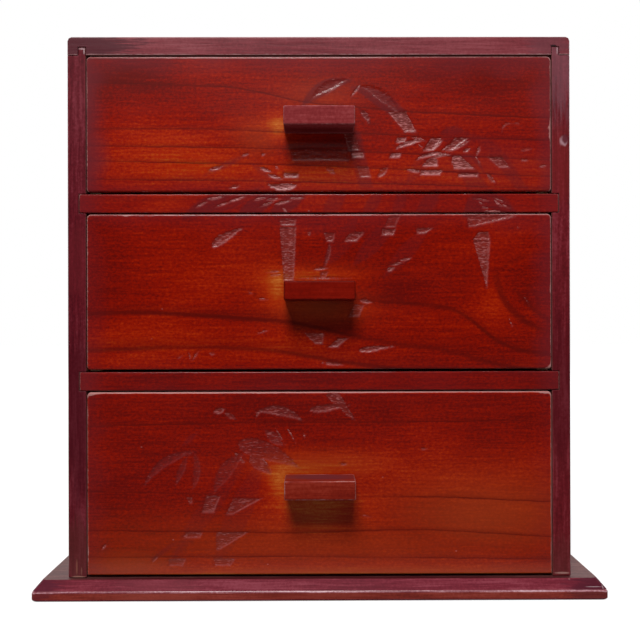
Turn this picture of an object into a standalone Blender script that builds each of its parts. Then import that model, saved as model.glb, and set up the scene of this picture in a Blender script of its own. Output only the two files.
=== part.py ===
"""A small three-drawer table chest in stained, lacquered wood.

The case is two sides, a top and two drawer rails on a bevelled base board. The top is grooved over a tongue on
each side, the rails and the drawer runners sit in housings cut across the sides, and a thin back panel closes the
rebate behind. Each drawer is a front rebated over its sides, a back, a thin bottom in grooves and a bar pull held
by two screws from inside.

Metres, +Z up, the drawers open towards -Y. The origin is the middle of the base board's underside.
"""

import math

import bmesh
import bpy
from mathutils import Vector

# Case
CASE_WIDTH = 0.300
CASE_DEPTH = 0.220
SIDE_THICKNESS = 0.011
TOP_THICKNESS = 0.011
TOP_END_ROUND = 0.0025
RAIL_THICKNESS = 0.011
RAIL_DEPTH = 0.030
RUNNER_REACH = 0.008
HOUSING_DEPTH = 0.0042
TONGUE_THICKNESS = 0.0042
TONGUE_HEIGHT = 0.0048
BACK_THICKNESS = 0.004
BACK_REBATE = 0.005

# Clear height of each drawer's opening
BOTTOM_OPENING = 0.1115
MIDDLE_OPENING = 0.095
TOP_OPENING = 0.083

# Base board
BASE_THICKNESS = 0.0115
BASE_SIDE_OVERHANG = 0.0195
BASE_FRONT_OVERHANG = 0.0076
BASE_BEVEL_RUN = 0.005
BASE_BEVEL_DROP = 0.006
BASE_CORNER_RADIUS = 0.0025
BASE_CORNER_STEPS = 4

# Drawers
FRONT_THICKNESS = 0.012
FRONT_LIP = 0.005
FRONT_ROUND = 0.0014
FRONT_GAP_BESIDE = 0.0008
FRONT_GAP_BELOW = 0.0015
FRONT_GAP_ABOVE = 0.0013
DRAWER_SIDE_THICKNESS = 0.007
DRAWER_SIDE_DROP = 0.003
DRAWER_BACK_THICKNESS = 0.007
DRAWER_BACK_REBATE = 0.003
DRAWER_BOTTOM_THICKNESS = 0.003
BOTTOM_GROOVE_DEPTH = 0.0035
BOTTOM_GROOVE_RISE = 0.005

# Bar pulls
PULL_WIDTH = 0.041
PULL_HEIGHT = 0.011
PULL_REACH = 0.019
PULL_ROUND = 0.0013

# Screws: pan heads inside the drawers, countersunk heads under the base
PULL_SCREW_RADIUS = 0.0016
PULL_SCREW_SPACING = 0.022
PULL_SCREW_BITE = 0.011
PULL_SCREW_HEAD_RADIUS = 0.0031
PULL_SCREW_HEAD_HEIGHT = 0.002
BASE_SCREW_RADIUS = 0.00175
BASE_SCREW_BITE = 0.020
BASE_SCREW_HEAD_RADIUS = 0.0035
BASE_SCREW_HEAD_HEIGHT = 0.0022
BASE_SCREW_SINK = 0.0005
BASE_SCREW_INSET = 0.040
SCREW_TIP = 0.004
SCREW_SIDES = 12
SCREW_DOME_STEPS = 3

# Finish of the pieces
FIT = 0.0003
EASE = 0.001
FINE_EASE = 0.0005
EASE_STEPS = 2
CUT_PAST = 0.002

# Places worked out from the sizes
BASE_WIDTH = CASE_WIDTH + 2 * BASE_SIDE_OVERHANG
BASE_DEPTH = CASE_DEPTH + BASE_FRONT_OVERHANG
FRONT_Y = BASE_FRONT_OVERHANG - BASE_DEPTH / 2
BACK_Y = FRONT_Y + CASE_DEPTH
BACK_PANEL_Y = BACK_Y - BACK_THICKNESS
INNER_HALF = CASE_WIDTH / 2 - SIDE_THICKNESS
HOUSING_HALF = INNER_HALF + HOUSING_DEPTH
LOWER_RAIL_Z = BASE_THICKNESS + BOTTOM_OPENING
MIDDLE_DRAWER_Z = LOWER_RAIL_Z + RAIL_THICKNESS
UPPER_RAIL_Z = MIDDLE_DRAWER_Z + MIDDLE_OPENING
TOP_DRAWER_Z = UPPER_RAIL_Z + RAIL_THICKNESS
TOP_UNDER_Z = TOP_DRAWER_Z + TOP_OPENING
CASE_TOP_Z = TOP_UNDER_Z + TOP_THICKNESS

# The drawers' own frame starts at the front face, at the floor of the opening
DRAWER_HALF = INNER_HALF - FRONT_GAP_BESIDE
DRAWER_DEPTH = CASE_DEPTH - BACK_THICKNESS - FIT
BOX_HALF = DRAWER_HALF - DRAWER_SIDE_THICKNESS


def clear_scene():
    for obj in list(bpy.data.objects):
        bpy.data.objects.remove(obj, do_unlink=True)


def finish(name, colour, roughness, metallic=0.0):
    """A plain surface: colour, roughness and metallic value."""
    material = bpy.data.materials.new(name)
    material.use_nodes = True
    shader = material.node_tree.nodes["Principled BSDF"]
    shader.inputs["Base Color"].default_value = (*colour, 1.0)
    shader.inputs["Roughness"].default_value = roughness
    shader.inputs["Metallic"].default_value = metallic
    return material


def group(name, location=(0, 0, 0)):
    """An empty that carries the pieces of one moving body."""
    empty = bpy.data.objects.new(name, None)
    empty.location = location
    bpy.context.scene.collection.objects.link(empty)
    return empty


def place(name, shape, location, parent, material=None):
    """Makes a bmesh into a named object at its place under a parent."""
    mesh = bpy.data.meshes.new(name)
    shape.to_mesh(mesh)
    shape.free()
    if material:
        mesh.materials.append(material)
    obj = bpy.data.objects.new(name, mesh)
    obj.location = location
    obj.parent = parent
    bpy.context.scene.collection.objects.link(obj)
    return obj


def side_named(face):
    """Which way a box's face looks, such as +X."""
    axis = max(range(3), key=lambda i: abs(face.normal[i]))
    return ("+" if face.normal[axis] > 0 else "-") + "XYZ"[axis]


def round_edges(shape, pairs, radius):
    """Rounds the box edges named by the two faces that meet there."""
    wanted = [frozenset(pair) for pair in pairs]
    edges = [e for e in shape.edges if frozenset(side_named(f) for f in e.link_faces) in wanted]
    bmesh.ops.bevel(
        shape, geom=edges, offset=radius, segments=EASE_STEPS, profile=0.5, affect="EDGES", clamp_overlap=True
    )


def box_shape(low, high):
    """A box about its own middle, and where that middle goes."""
    low, high = Vector(low), Vector(high)
    shape = bmesh.new()
    bmesh.ops.create_cube(shape, size=1.0)
    bmesh.ops.scale(shape, vec=high - low, verts=shape.verts)
    shape.normal_update()
    return shape, (low + high) / 2


def board(name, low, high, parent, material, *eased):
    """A board between two corners. Each of eased is a radius and the edges that get it."""
    shape, middle = box_shape(low, high)
    for radius, pairs in eased:
        round_edges(shape, pairs, radius)
        shape.normal_update()
    return place(name, shape, middle, parent, material)


def hide_cutter(cutter):
    cutter.hide_render = True
    cutter.display_type = "WIRE"


def subtract(target, cutter):
    modifier = target.modifiers.new(cutter.name, "BOOLEAN")
    modifier.operation = "DIFFERENCE"
    modifier.object = cutter


def notch(target, label, low, high):
    """Cuts a box out of a board. The box is given in the board's parent frame."""
    shape, middle = box_shape(low, high)
    cutter = place(f"cut_{target.name}_{label}", shape, middle, target.parent)
    hide_cutter(cutter)
    subtract(target, cutter)


def turned_shape(profile):
    """A solid turned about Z from (radius, height) points, given from its foot up to its tip."""
    shape = bmesh.new()
    rings = []
    for radius, height in profile:
        if radius == 0:
            rings.append([shape.verts.new((0, 0, height))])
            continue
        turns = [2 * math.pi * i / SCREW_SIDES for i in range(SCREW_SIDES)]
        rings.append([shape.verts.new((radius * math.cos(t), radius * math.sin(t), height)) for t in turns])
    for lower, upper in zip(rings, rings[1:]):
        for i in range(SCREW_SIDES):
            j = (i + 1) % SCREW_SIDES
            corners = [lower[i % len(lower)], lower[j % len(lower)], upper[j % len(upper)], upper[i % len(upper)]]
            shape.faces.new(dict.fromkeys(corners))
    bmesh.ops.recalc_face_normals(shape, faces=shape.faces)
    return shape


def pan_screw_profile(spare, bore):
    """Pull screw: pan head below z = 0, shank above it. Spare widens it into its own clearance hole."""
    shank = PULL_SCREW_RADIUS + spare
    head = PULL_SCREW_HEAD_RADIUS
    rise = PULL_SCREW_HEAD_HEIGHT
    end = FRONT_THICKNESS + FIT + PULL_SCREW_BITE + spare
    if bore:
        return [(0, -CUT_PAST), (shank, -CUT_PAST), (shank, end - SCREW_TIP), (0, end)]
    turns = [0.5 * math.pi * i / SCREW_DOME_STEPS for i in range(1, SCREW_DOME_STEPS + 1)]
    dome = [(0, -rise)] + [(head * math.sin(t), -rise * math.cos(t)) for t in turns]
    return dome + [(shank, 0), (shank, end - SCREW_TIP), (0, end)]


def sunk_screw_profile(spare, bore):
    """Base screw: countersunk head from z = 0 up, then the shank. Spare widens it into its own hole."""
    shank = BASE_SCREW_RADIUS + spare
    head = BASE_SCREW_HEAD_RADIUS + spare
    neck = BASE_SCREW_HEAD_HEIGHT
    end = BASE_THICKNESS - BASE_SCREW_SINK + FIT + BASE_SCREW_BITE + spare
    start = [(0, -CUT_PAST), (head, -CUT_PAST), (head, 0)] if bore else [(0, 0), (head, 0)]
    return start + [(shank, neck), (shank, end - SCREW_TIP), (0, end)]


def screw(name, profile, location, rotation, parent, material, holed):
    """A screw, and its clearance hole in each piece that it passes through."""
    body = place(name, turned_shape(profile(0, False)), location, parent, material)
    body.rotation_euler = rotation
    body.data.shade_smooth()
    body.data.set_sharp_from_angle(angle=math.radians(35))
    cutter = place(f"cut_{name}", turned_shape(profile(FIT, True)), location, parent)
    cutter.rotation_euler = rotation
    hide_cutter(cutter)
    for piece in holed:
        subtract(piece, cutter)


def base_outline(inset, height):
    """The base board's plan at one height: rounded front corners, square back corners, inset on three sides."""
    half = BASE_WIDTH / 2 - inset
    front = -BASE_DEPTH / 2 + inset
    radius = BASE_CORNER_RADIUS
    points = [(half, BASE_DEPTH / 2), (-half, BASE_DEPTH / 2)]
    for sign, start in ((-1, math.pi), (1, 1.5 * math.pi)):
        for step in range(BASE_CORNER_STEPS + 1):
            turn = start + 0.5 * math.pi * step / BASE_CORNER_STEPS
            x = sign * (half - radius) + radius * math.cos(turn)
            points.append((x, front + radius + radius * math.sin(turn)))
    return [Vector((x, y, height)) for x, y in points]


def make_base(parent, material):
    """The bevelled board that the case stands on."""
    shape = bmesh.new()
    levels = [
        (EASE, 0),
        (0, EASE),
        (0, BASE_THICKNESS - BASE_BEVEL_DROP - FINE_EASE),
        (FINE_EASE, BASE_THICKNESS - BASE_BEVEL_DROP + FINE_EASE),
        (BASE_BEVEL_RUN, BASE_THICKNESS),
    ]
    loops = [[shape.verts.new(p) for p in base_outline(inset, height)] for inset, height in levels]
    count = len(loops[0])
    for lower, upper in zip(loops, loops[1:]):
        for i in range(count):
            j = (i + 1) % count
            shape.faces.new((lower[i], lower[j], upper[j], upper[i]))
    shape.faces.new(loops[-1])
    shape.faces.new(reversed(loops[0]))
    bmesh.ops.recalc_face_normals(shape, faces=shape.faces)
    return place("base_board", shape, (0, 0, 0), parent, material)


def make_side(name, sign, parent, material):
    """A case side: tongued at the top, housed for rails and runners, rebated for the back panel."""
    inner, outer = sign * INNER_HALF, sign * CASE_WIDTH / 2
    low = (min(inner, outer), FRONT_Y, BASE_THICKNESS + FIT)
    high = (max(inner, outer), BACK_Y, TOP_UNDER_Z + TONGUE_HEIGHT - FIT)
    out = "+X" if sign > 0 else "-X"
    side = board(name, low, high, parent, material, (EASE, [("-Y", out), ("+Y", out)]))
    shoulder = sorted((sign * (INNER_HALF + TONGUE_THICKNESS), outer + sign * CUT_PAST))
    notch(
        side,
        "shoulder",
        (shoulder[0], FRONT_Y - CUT_PAST, TOP_UNDER_Z - FIT),
        (shoulder[1], BACK_Y + CUT_PAST, CASE_TOP_Z),
    )
    housing = sorted((sign * HOUSING_HALF, inner - sign * CUT_PAST))
    for label, z in (("lower_housing", LOWER_RAIL_Z), ("upper_housing", UPPER_RAIL_Z)):
        notch(
            side,
            label,
            (housing[0], FRONT_Y - CUT_PAST, z - FIT),
            (housing[1], BACK_Y + CUT_PAST, z + RAIL_THICKNESS + FIT),
        )
    rebate = sorted((sign * (INNER_HALF + BACK_REBATE), inner - sign * CUT_PAST))
    notch(side, "rebate", (rebate[0], BACK_PANEL_Y - FIT, 0), (rebate[1], BACK_Y + CUT_PAST, CASE_TOP_Z))
    return side


def make_top(parent, material):
    """The top board, grooved over the sides' tongues and rebated for the back panel."""
    low = (-CASE_WIDTH / 2, FRONT_Y, TOP_UNDER_Z)
    high = (CASE_WIDTH / 2, BACK_Y, CASE_TOP_Z)
    ends = [("+Z", "+X"), ("+Z", "-X")]
    uprights = [("-Y", "+X"), ("-Y", "-X"), ("+Z", "-Y")]
    top = board("top_board", low, high, parent, material, (TOP_END_ROUND, ends), (EASE, uprights))
    for label, sign in (("left_groove", -1), ("right_groove", 1)):
        near, far = sorted((sign * (INNER_HALF - FIT), sign * (INNER_HALF + TONGUE_THICKNESS + FIT)))
        notch(
            top,
            label,
            (near, FRONT_Y - CUT_PAST, BASE_THICKNESS),
            (far, BACK_Y + CUT_PAST, TOP_UNDER_Z + TONGUE_HEIGHT),
        )
    rebate_half = INNER_HALF + BACK_REBATE
    notch(
        top,
        "rebate",
        (-rebate_half, BACK_PANEL_Y - FIT, BASE_THICKNESS),
        (rebate_half, BACK_Y + CUT_PAST, TOP_UNDER_Z + BACK_REBATE),
    )
    return top


def make_rail(level, z, parent, material):
    """A front rail between two drawers, with the two runners that carry the drawer above it."""
    half = HOUSING_HALF - FIT
    rail_back = FRONT_Y + RAIL_DEPTH
    eased = (FINE_EASE, [("-Y", "+Z"), ("-Y", "-Z")])
    top = z + RAIL_THICKNESS
    board(f"{level}_rail", (-half, FRONT_Y, z), (half, rail_back, top), parent, material["lacquer"], eased)
    for label, sign in (("left", -1), ("right", 1)):
        near, far = sorted((sign * half, sign * (INNER_HALF - RUNNER_REACH)))
        runner_back = BACK_PANEL_Y - 2 * FIT
        low = (near, rail_back + FIT, z)
        board(f"{level}_{label}_runner", low, (far, runner_back, top), parent, material["box"])


def make_back(parent, material):
    """The thin panel in the rebate behind the case."""
    half = INNER_HALF + BACK_REBATE - FIT
    low = (-half, BACK_PANEL_Y, BASE_THICKNESS + FIT)
    high = (half, BACK_Y, TOP_UNDER_Z + BACK_REBATE - FIT)
    return board("back_panel", low, high, parent, material)


def make_case(materials):
    case = group("case")
    base = make_base(case, materials["lacquer"])
    sides = {
        "left": make_side("left_side", -1, case, materials["lacquer"]),
        "right": make_side("right_side", 1, case, materials["lacquer"]),
    }
    make_top(case, materials["lacquer"])
    make_rail("lower", LOWER_RAIL_Z, case, materials)
    make_rail("upper", UPPER_RAIL_Z, case, materials)
    make_back(case, materials["panel"])
    middle = CASE_WIDTH / 2 - SIDE_THICKNESS / 2
    for label, sign in (("left", -1), ("right", 1)):
        for place_name, y in (("front", FRONT_Y + BASE_SCREW_INSET), ("back", BACK_Y - BASE_SCREW_INSET)):
            screw(
                f"base_screw_{label}_{place_name}",
                sunk_screw_profile,
                (sign * middle, y, BASE_SCREW_SINK),
                (0, 0, 0),
                case,
                materials["steel"],
                [base, sides[label]],
            )


def make_drawer(level, floor_z, opening, materials):
    """One drawer. Its frame's origin is on its slide, at the front face and the floor of its opening."""
    drawer = group(f"{level}_drawer", (0, FRONT_Y, floor_z))
    front_top = opening - FRONT_GAP_ABOVE
    side_top = front_top - DRAWER_SIDE_DROP
    groove_low = FIT + BOTTOM_GROOVE_RISE
    groove_high = groove_low + DRAWER_BOTTOM_THICKNESS + 2 * FIT
    back_face = DRAWER_DEPTH - DRAWER_BACK_THICKNESS

    front = board(
        f"{level}_drawer_front",
        (-DRAWER_HALF, 0, FRONT_GAP_BELOW),
        (DRAWER_HALF, FRONT_THICKNESS, front_top),
        drawer,
        materials["front"],
        (FRONT_ROUND, [("-Y", s) for s in ("+X", "-X", "+Z", "-Z")]),
    )
    for label, sign in (("left", -1), ("right", 1)):
        near, far = sorted((sign * (BOX_HALF - FIT), sign * (DRAWER_HALF + CUT_PAST)))
        notch(
            front,
            f"{label}_rebate",
            (near, FRONT_LIP, -CUT_PAST),
            (far, FRONT_THICKNESS + CUT_PAST, opening),
        )
        inner, outer = sign * BOX_HALF, sign * DRAWER_HALF
        side = board(
            f"{level}_drawer_{label}_side",
            (min(inner, outer), FRONT_LIP + FIT, FIT),
            (max(inner, outer), DRAWER_DEPTH, side_top),
            drawer,
            materials["box"],
        )
        near, far = sorted((inner - sign * CUT_PAST, inner + sign * BOTTOM_GROOVE_DEPTH))
        notch(side, "groove", (near, 0, groove_low), (far, DRAWER_DEPTH + CUT_PAST, groove_high))
        near, far = sorted((inner - sign * CUT_PAST, inner + sign * DRAWER_BACK_REBATE))
        notch(side, "rebate", (near, back_face - FIT, -CUT_PAST), (far, DRAWER_DEPTH + CUT_PAST, opening))
    notch(
        front,
        "groove",
        (-DRAWER_HALF - CUT_PAST, FRONT_THICKNESS - BOTTOM_GROOVE_DEPTH, groove_low),
        (DRAWER_HALF + CUT_PAST, FRONT_THICKNESS + CUT_PAST, groove_high),
    )

    bottom_half = BOX_HALF + BOTTOM_GROOVE_DEPTH - FIT
    bottom_low = groove_low + FIT
    bottom_high = bottom_low + DRAWER_BOTTOM_THICKNESS
    bottom_front = FRONT_THICKNESS - BOTTOM_GROOVE_DEPTH + FIT
    board(
        f"{level}_drawer_bottom",
        (-bottom_half, bottom_front, bottom_low),
        (bottom_half, DRAWER_DEPTH, bottom_high),
        drawer,
        materials["panel"],
    )
    back_half = BOX_HALF + DRAWER_BACK_REBATE - FIT
    board(
        f"{level}_drawer_back",
        (-back_half, back_face, bottom_high + FIT),
        (back_half, DRAWER_DEPTH, side_top),
        drawer,
        materials["box"],
    )
    make_pull(level, drawer, front, (FRONT_GAP_BELOW + front_top) / 2, materials)


def make_pull(level, drawer, front, height, materials):
    """The bar pull at the middle of a drawer front, and its two screws."""
    faces = ("+X", "-X", "+Z", "-Z")
    ends = [(a, b) for a in faces[:2] for b in faces[2:]]
    pull = board(
        f"{level}_pull",
        (-PULL_WIDTH / 2, -FIT - PULL_REACH, height - PULL_HEIGHT / 2),
        (PULL_WIDTH / 2, -FIT, height + PULL_HEIGHT / 2),
        drawer,
        materials["lacquer"],
        (PULL_ROUND, [("-Y", face) for face in faces] + ends),
    )
    for label, sign in (("left", -1), ("right", 1)):
        screw(
            f"{level}_pull_screw_{label}",
            pan_screw_profile,
            (sign * PULL_SCREW_SPACING / 2, FRONT_THICKNESS + FIT, height),
            (math.pi / 2, 0, 0),
            drawer,
            materials["steel"],
            [front, pull],
        )


def main():
    clear_scene()
    materials = {
        "lacquer": finish("maroon_lacquer", (0.105, 0.012, 0.018), 0.32),
        "front": finish("red_lacquer", (0.240, 0.020, 0.008), 0.28),
        "box": finish("pale_drawer_wood", (0.520, 0.360, 0.210), 0.65),
        "panel": finish("plywood", (0.560, 0.400, 0.240), 0.70),
        "steel": finish("zinc_steel", (0.560, 0.550, 0.500), 0.35, 1.0),
    }
    make_case(materials)
    make_drawer("bottom", BASE_THICKNESS, BOTTOM_OPENING, materials)
    make_drawer("middle", MIDDLE_DRAWER_Z, MIDDLE_OPENING, materials)
    make_drawer("top", TOP_DRAWER_Z, TOP_OPENING, materials)


main()
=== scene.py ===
import math
from types import SimpleNamespace

import bmesh
import bpy
import numpy as np
from mathutils import Matrix, Vector


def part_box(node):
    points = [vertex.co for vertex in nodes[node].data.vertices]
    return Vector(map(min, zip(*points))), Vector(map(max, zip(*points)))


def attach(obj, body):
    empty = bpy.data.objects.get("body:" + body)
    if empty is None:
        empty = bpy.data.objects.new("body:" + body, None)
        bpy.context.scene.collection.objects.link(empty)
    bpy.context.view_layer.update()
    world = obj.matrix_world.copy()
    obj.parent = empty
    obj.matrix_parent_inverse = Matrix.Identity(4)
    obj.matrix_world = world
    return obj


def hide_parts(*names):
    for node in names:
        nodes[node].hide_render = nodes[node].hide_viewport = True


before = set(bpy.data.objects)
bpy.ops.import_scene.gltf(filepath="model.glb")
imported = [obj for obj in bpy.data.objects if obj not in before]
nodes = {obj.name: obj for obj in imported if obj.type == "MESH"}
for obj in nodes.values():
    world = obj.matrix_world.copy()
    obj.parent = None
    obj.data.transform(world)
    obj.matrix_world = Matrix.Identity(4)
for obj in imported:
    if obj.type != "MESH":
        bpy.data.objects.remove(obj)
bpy.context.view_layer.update()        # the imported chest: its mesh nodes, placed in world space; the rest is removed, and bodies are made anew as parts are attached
scene = bpy.context.scene
mm = 0.001
levels = ("top", "middle", "bottom")
origin = (0.0, 0.0, 0.0)
white = (1, 1, 1, 1)
print("frame loaded:", len(nodes), "nodes")

# short ways to build node trees


def wire(tree, socket, value):   # links an output, or sets a plain value
    if isinstance(value, bpy.types.NodeSocket):
        tree.links.new(value, socket)
    else:
        socket.default_value = value


def wireAll(tree, node, values):
    for socket, value in zip(node.inputs, values):
        wire(tree, socket, value)


def calc(tree, operation, *values, clamp=False):
    node = tree.nodes.new("ShaderNodeMath")
    node.operation = operation
    node.use_clamp = clamp
    wireAll(tree, node, values)
    return node.outputs[0]


def times(tree, value, factor):
    return calc(tree, "MULTIPLY", value, factor)


def addTimes(tree, value, factor, onto):
    return calc(tree, "MULTIPLY_ADD", value, factor, onto)


def swing(tree, value, factor, onto, middle=0.5):   # moves onto by how far value is from its middle
    return addTimes(tree, calc(tree, "SUBTRACT", value, middle), factor, onto)


def vectorCalc(tree, operation, *values):
    node = tree.nodes.new("ShaderNodeVectorMath")
    node.operation = operation
    wireAll(tree, node, values)
    return node.outputs["Value" if operation == "LENGTH" else "Vector"]


def split(tree, vector):
    node = tree.nodes.new("ShaderNodeSeparateXYZ")
    wire(tree, node.inputs[0], vector)
    return node.outputs


def joined(tree, x=0.0, y=0.0, z=0.0):
    node = tree.nodes.new("ShaderNodeCombineXYZ")
    wireAll(tree, node, (x, y, z))
    return node.outputs[0]


def ease(tree, value, low, high, start=0.0, end=1.0):   # a smooth step between two levels
    node = tree.nodes.new("ShaderNodeMapRange")
    node.interpolation_type = "SMOOTHSTEP"
    wireAll(tree, node, (value, low, high, start, end))
    return node.outputs[0]


def tint(tree, amount, under, over):
    node = tree.nodes.new("ShaderNodeMix")
    node.data_type = "RGBA"
    wire(tree, node.inputs[0], amount)
    wire(tree, node.inputs[6], under)
    wire(tree, node.inputs[7], over)
    return node.outputs[2]


def ramp(tree, value, stops):
    node = tree.nodes.new("ShaderNodeValToRGB")
    points = node.color_ramp.elements
    last = stops[-1][0]
    while len(points) < len(stops):
        points.new(1.0)
    for point, (level, colour) in zip(points, stops):
        point.position = level / last
        point.color = (*colour, 1)
    wire(tree, node.inputs[0], calc(tree, "DIVIDE", value, last))
    return node.outputs[0]


def noise(tree, place, cells, detail=3.0, rough=0.55):   # cells per metre along x, y, z
    node = tree.nodes.new("ShaderNodeTexNoise")
    node.inputs["Scale"].default_value = 1.0
    node.inputs["Detail"].default_value = detail
    node.inputs["Roughness"].default_value = rough
    wire(tree, node.inputs["Vector"], vectorCalc(tree, "MULTIPLY", place, cells))
    return node.outputs[0]


def newGroup(name, inputs, outputs):
    group = bpy.data.node_groups.new(name, "ShaderNodeTree")
    for label, value in inputs.items():
        kind = "NodeSocketVector" if isinstance(value, tuple) else "NodeSocketFloat"
        group.interface.new_socket(label, in_out="INPUT", socket_type=kind).default_value = value
    for label in outputs:
        group.interface.new_socket(label, in_out="OUTPUT", socket_type="NodeSocketFloat")
    return group, group.nodes.new("NodeGroupInput").outputs, group.nodes.new("NodeGroupOutput").inputs


def useGroup(tree, group, **values):
    node = tree.nodes.new("ShaderNodeGroup")
    node.node_tree = group
    for label, value in values.items():
        wire(tree, node.inputs[label], value)
    return node.outputs


def newMaterial(name):
    material = bpy.data.materials.new(name)
    material.use_nodes = True
    tree = material.node_tree
    return material, tree, tree.nodes["Principled BSDF"].inputs


def objectPlace(tree):
    return tree.nodes.new("ShaderNodeTexCoord").outputs["Object"]


def grainPlace(tree, axis):   # object coordinates, turned so that the grain runs along x
    x, y, z = split(tree, objectPlace(tree))
    turned = {"x": (x, y, z), "y": (y, x, z), "z": (z, y, x)}
    return joined(tree, *turned[axis])


def fromAttribute(tree, name):
    node = tree.nodes.new("ShaderNodeAttribute")
    node.attribute_name = name
    return node.outputs["Fac"]


def bump(tree, height, strength, depth):
    node = tree.nodes.new("ShaderNodeBump")
    node.inputs["Strength"].default_value = strength
    node.inputs["Distance"].default_value = depth
    wire(tree, node.inputs["Height"], height)
    return node.outputs[0]


# camera, floor and light

camera = {
    "place": (-0.00295, -0.53745, 0.16005),
    "focal": 723.4,        # in pixels of a frame 640 wide
    "frame": 640,
    "yaw": -0.236,         # degrees
    "roll": 0.137,
    "shift": (2.5, 8.1),   # pixels
    "sensor": 36.0,        # mm
}
studio = {
    "floorSize": 12.0,
    "floorDrop": 0.0002,               # under the base board
    "floorColour": (0.30, 0.30, 0.30, 1),
    "floorRough": 0.9,
    "floorGlow": (0.74, 1.0),          # what the floor shows of its own, at the object and far off
    "floorReach": (0.35, 1.6),         # metres from the object
    "fill": 0.08,                      # sky light on the object; the sky itself shows white
    "lamps": {                         # place, size and power; all are aimed at the same point
        "front": ((-0.18, -1.42, 1.80), 0.78, 60.0),
        "leftRear": ((-1.70, 0.90, 1.10), 2.00, 26.0),
        "rightRear": ((1.70, 0.90, 1.10), 2.00, 26.0),
    },
    "lampAim": (0.0, -0.10, 0.16),
    "cardNear": -0.165,                # dark card seen only in the gloss: along the floor from here,
    "cardFar": -1.70,                  # then upright behind the camera
    "cardLift": 0.001,
    "cardTops": [                      # its top edge: x, z
        (-2.2, 0.74), (-0.66, 0.74), (-0.50, 0.84), (-0.36, 0.80), (-0.26, 0.75), (-0.10, 0.68), (0.08, 0.68),
        (0.18, 0.74), (0.28, 0.84), (0.50, 0.93), (0.58, 0.86), (0.66, 0.76), (2.2, 0.76),
    ],
    "cardColour": (0.012, 0.010, 0.010, 1),
}


def makeCamera():
    lens = bpy.data.cameras.new("photoCamera")
    lens.sensor_width = camera["sensor"]
    lens.lens = camera["focal"] / camera["frame"] * camera["sensor"]
    lens.shift_x = camera["shift"][0] / camera["frame"]
    lens.shift_y = camera["shift"][1] / camera["frame"]
    eye = bpy.data.objects.new("photoCamera", lens)
    turn = Matrix.Rotation(math.radians(camera["yaw"]), 4, "Z")
    turn = turn @ Matrix.Rotation(math.pi / 2, 4, "X")
    turn = turn @ Matrix.Rotation(-math.radians(camera["roll"]), 4, "Z")
    eye.matrix_world = Matrix.Translation(camera["place"]) @ turn
    scene.collection.objects.link(eye)
    scene.camera = eye


def stageSheet(name, corners, material):
    mesh = bpy.data.meshes.new(name)
    mesh.from_pydata(corners, [], [list(range(len(corners)))])
    mesh.materials.append(material)
    sheet = bpy.data.objects.new(name, mesh)
    scene.collection.objects.link(sheet)
    return sheet


def seenRays(tree):   # 1 for what the camera, a reflection or glass looks at
    path = tree.nodes.new("ShaderNodeLightPath").outputs
    seen = calc(tree, "ADD", path["Is Camera Ray"], path["Is Glossy Ray"])
    return calc(tree, "ADD", seen, path["Is Transmission Ray"], clamp=True)


def makeFloor():
    material, tree, shader = newMaterial("studioFloor")
    shader["Base Color"].default_value = studio["floorColour"]
    shader["Roughness"].default_value = studio["floorRough"]
    shader["Specular IOR Level"].default_value = 0.0
    shader["Emission Color"].default_value = white
    away = vectorCalc(tree, "LENGTH", objectPlace(tree))
    glow = ease(tree, away, *studio["floorReach"], *studio["floorGlow"])
    wire(tree, shader["Emission Strength"], times(tree, glow, seenRays(tree)))
    reach = studio["floorSize"] / 2
    corners = [(-reach, -reach), (reach, -reach), (reach, reach), (-reach, reach)]
    stageSheet("studioFloor", [(x, y, -studio["floorDrop"]) for x, y in corners], material)


def makeCards():
    material, _, shader = newMaterial("studioCard")
    shader["Base Color"].default_value = studio["cardColour"]
    shader["Roughness"].default_value = 1.0
    near = studio["cardNear"]
    far = studio["cardFar"]
    lift = studio["cardLift"]
    tops = studio["cardTops"]
    left = tops[0][0]
    right = tops[-1][0]
    lying = [(left, far, lift), (right, far, lift), (right, near, lift), (left, near, lift)]
    upright = [(left, far, 0), (right, far, 0)] + [(x, far, z) for x, z in reversed(tops)]
    for name, corners in (("lyingCard", lying), ("uprightCard", upright)):
        card = stageSheet(name, corners, material)
        card.visible_camera = False
        card.visible_diffuse = False
        card.visible_shadow = False
        card.visible_transmission = False


def makeLight():
    world = bpy.data.worlds.new("studioSky")
    world.use_nodes = True
    scene.world = world
    tree = world.node_tree
    sky = tree.nodes["Background"].inputs
    sky["Color"].default_value = white
    wire(tree, sky["Strength"], ease(tree, seenRays(tree), 0.0, 1.0, studio["fill"], 1.0))
    for name, (place, size, power) in studio["lamps"].items():
        lamp = bpy.data.lights.new(f"{name}Lamp", "AREA")
        lamp.shape = "SQUARE"
        lamp.size = size
        lamp.energy = power
        light = bpy.data.objects.new(f"{name}Lamp", lamp)
        aim = Vector(studio["lampAim"]) - Vector(place)
        light.matrix_world = Matrix.Translation(place) @ aim.to_track_quat("-Z", "Y").to_matrix().to_4x4()
        scene.collection.objects.link(light)
    scene.view_settings.view_transform = "Standard"


makeCamera()
makeFloor()
makeCards()
makeLight()
print("camera and studio ready")

# effects that several finishes share; the sizes of their noise are in cells per metre

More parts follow.
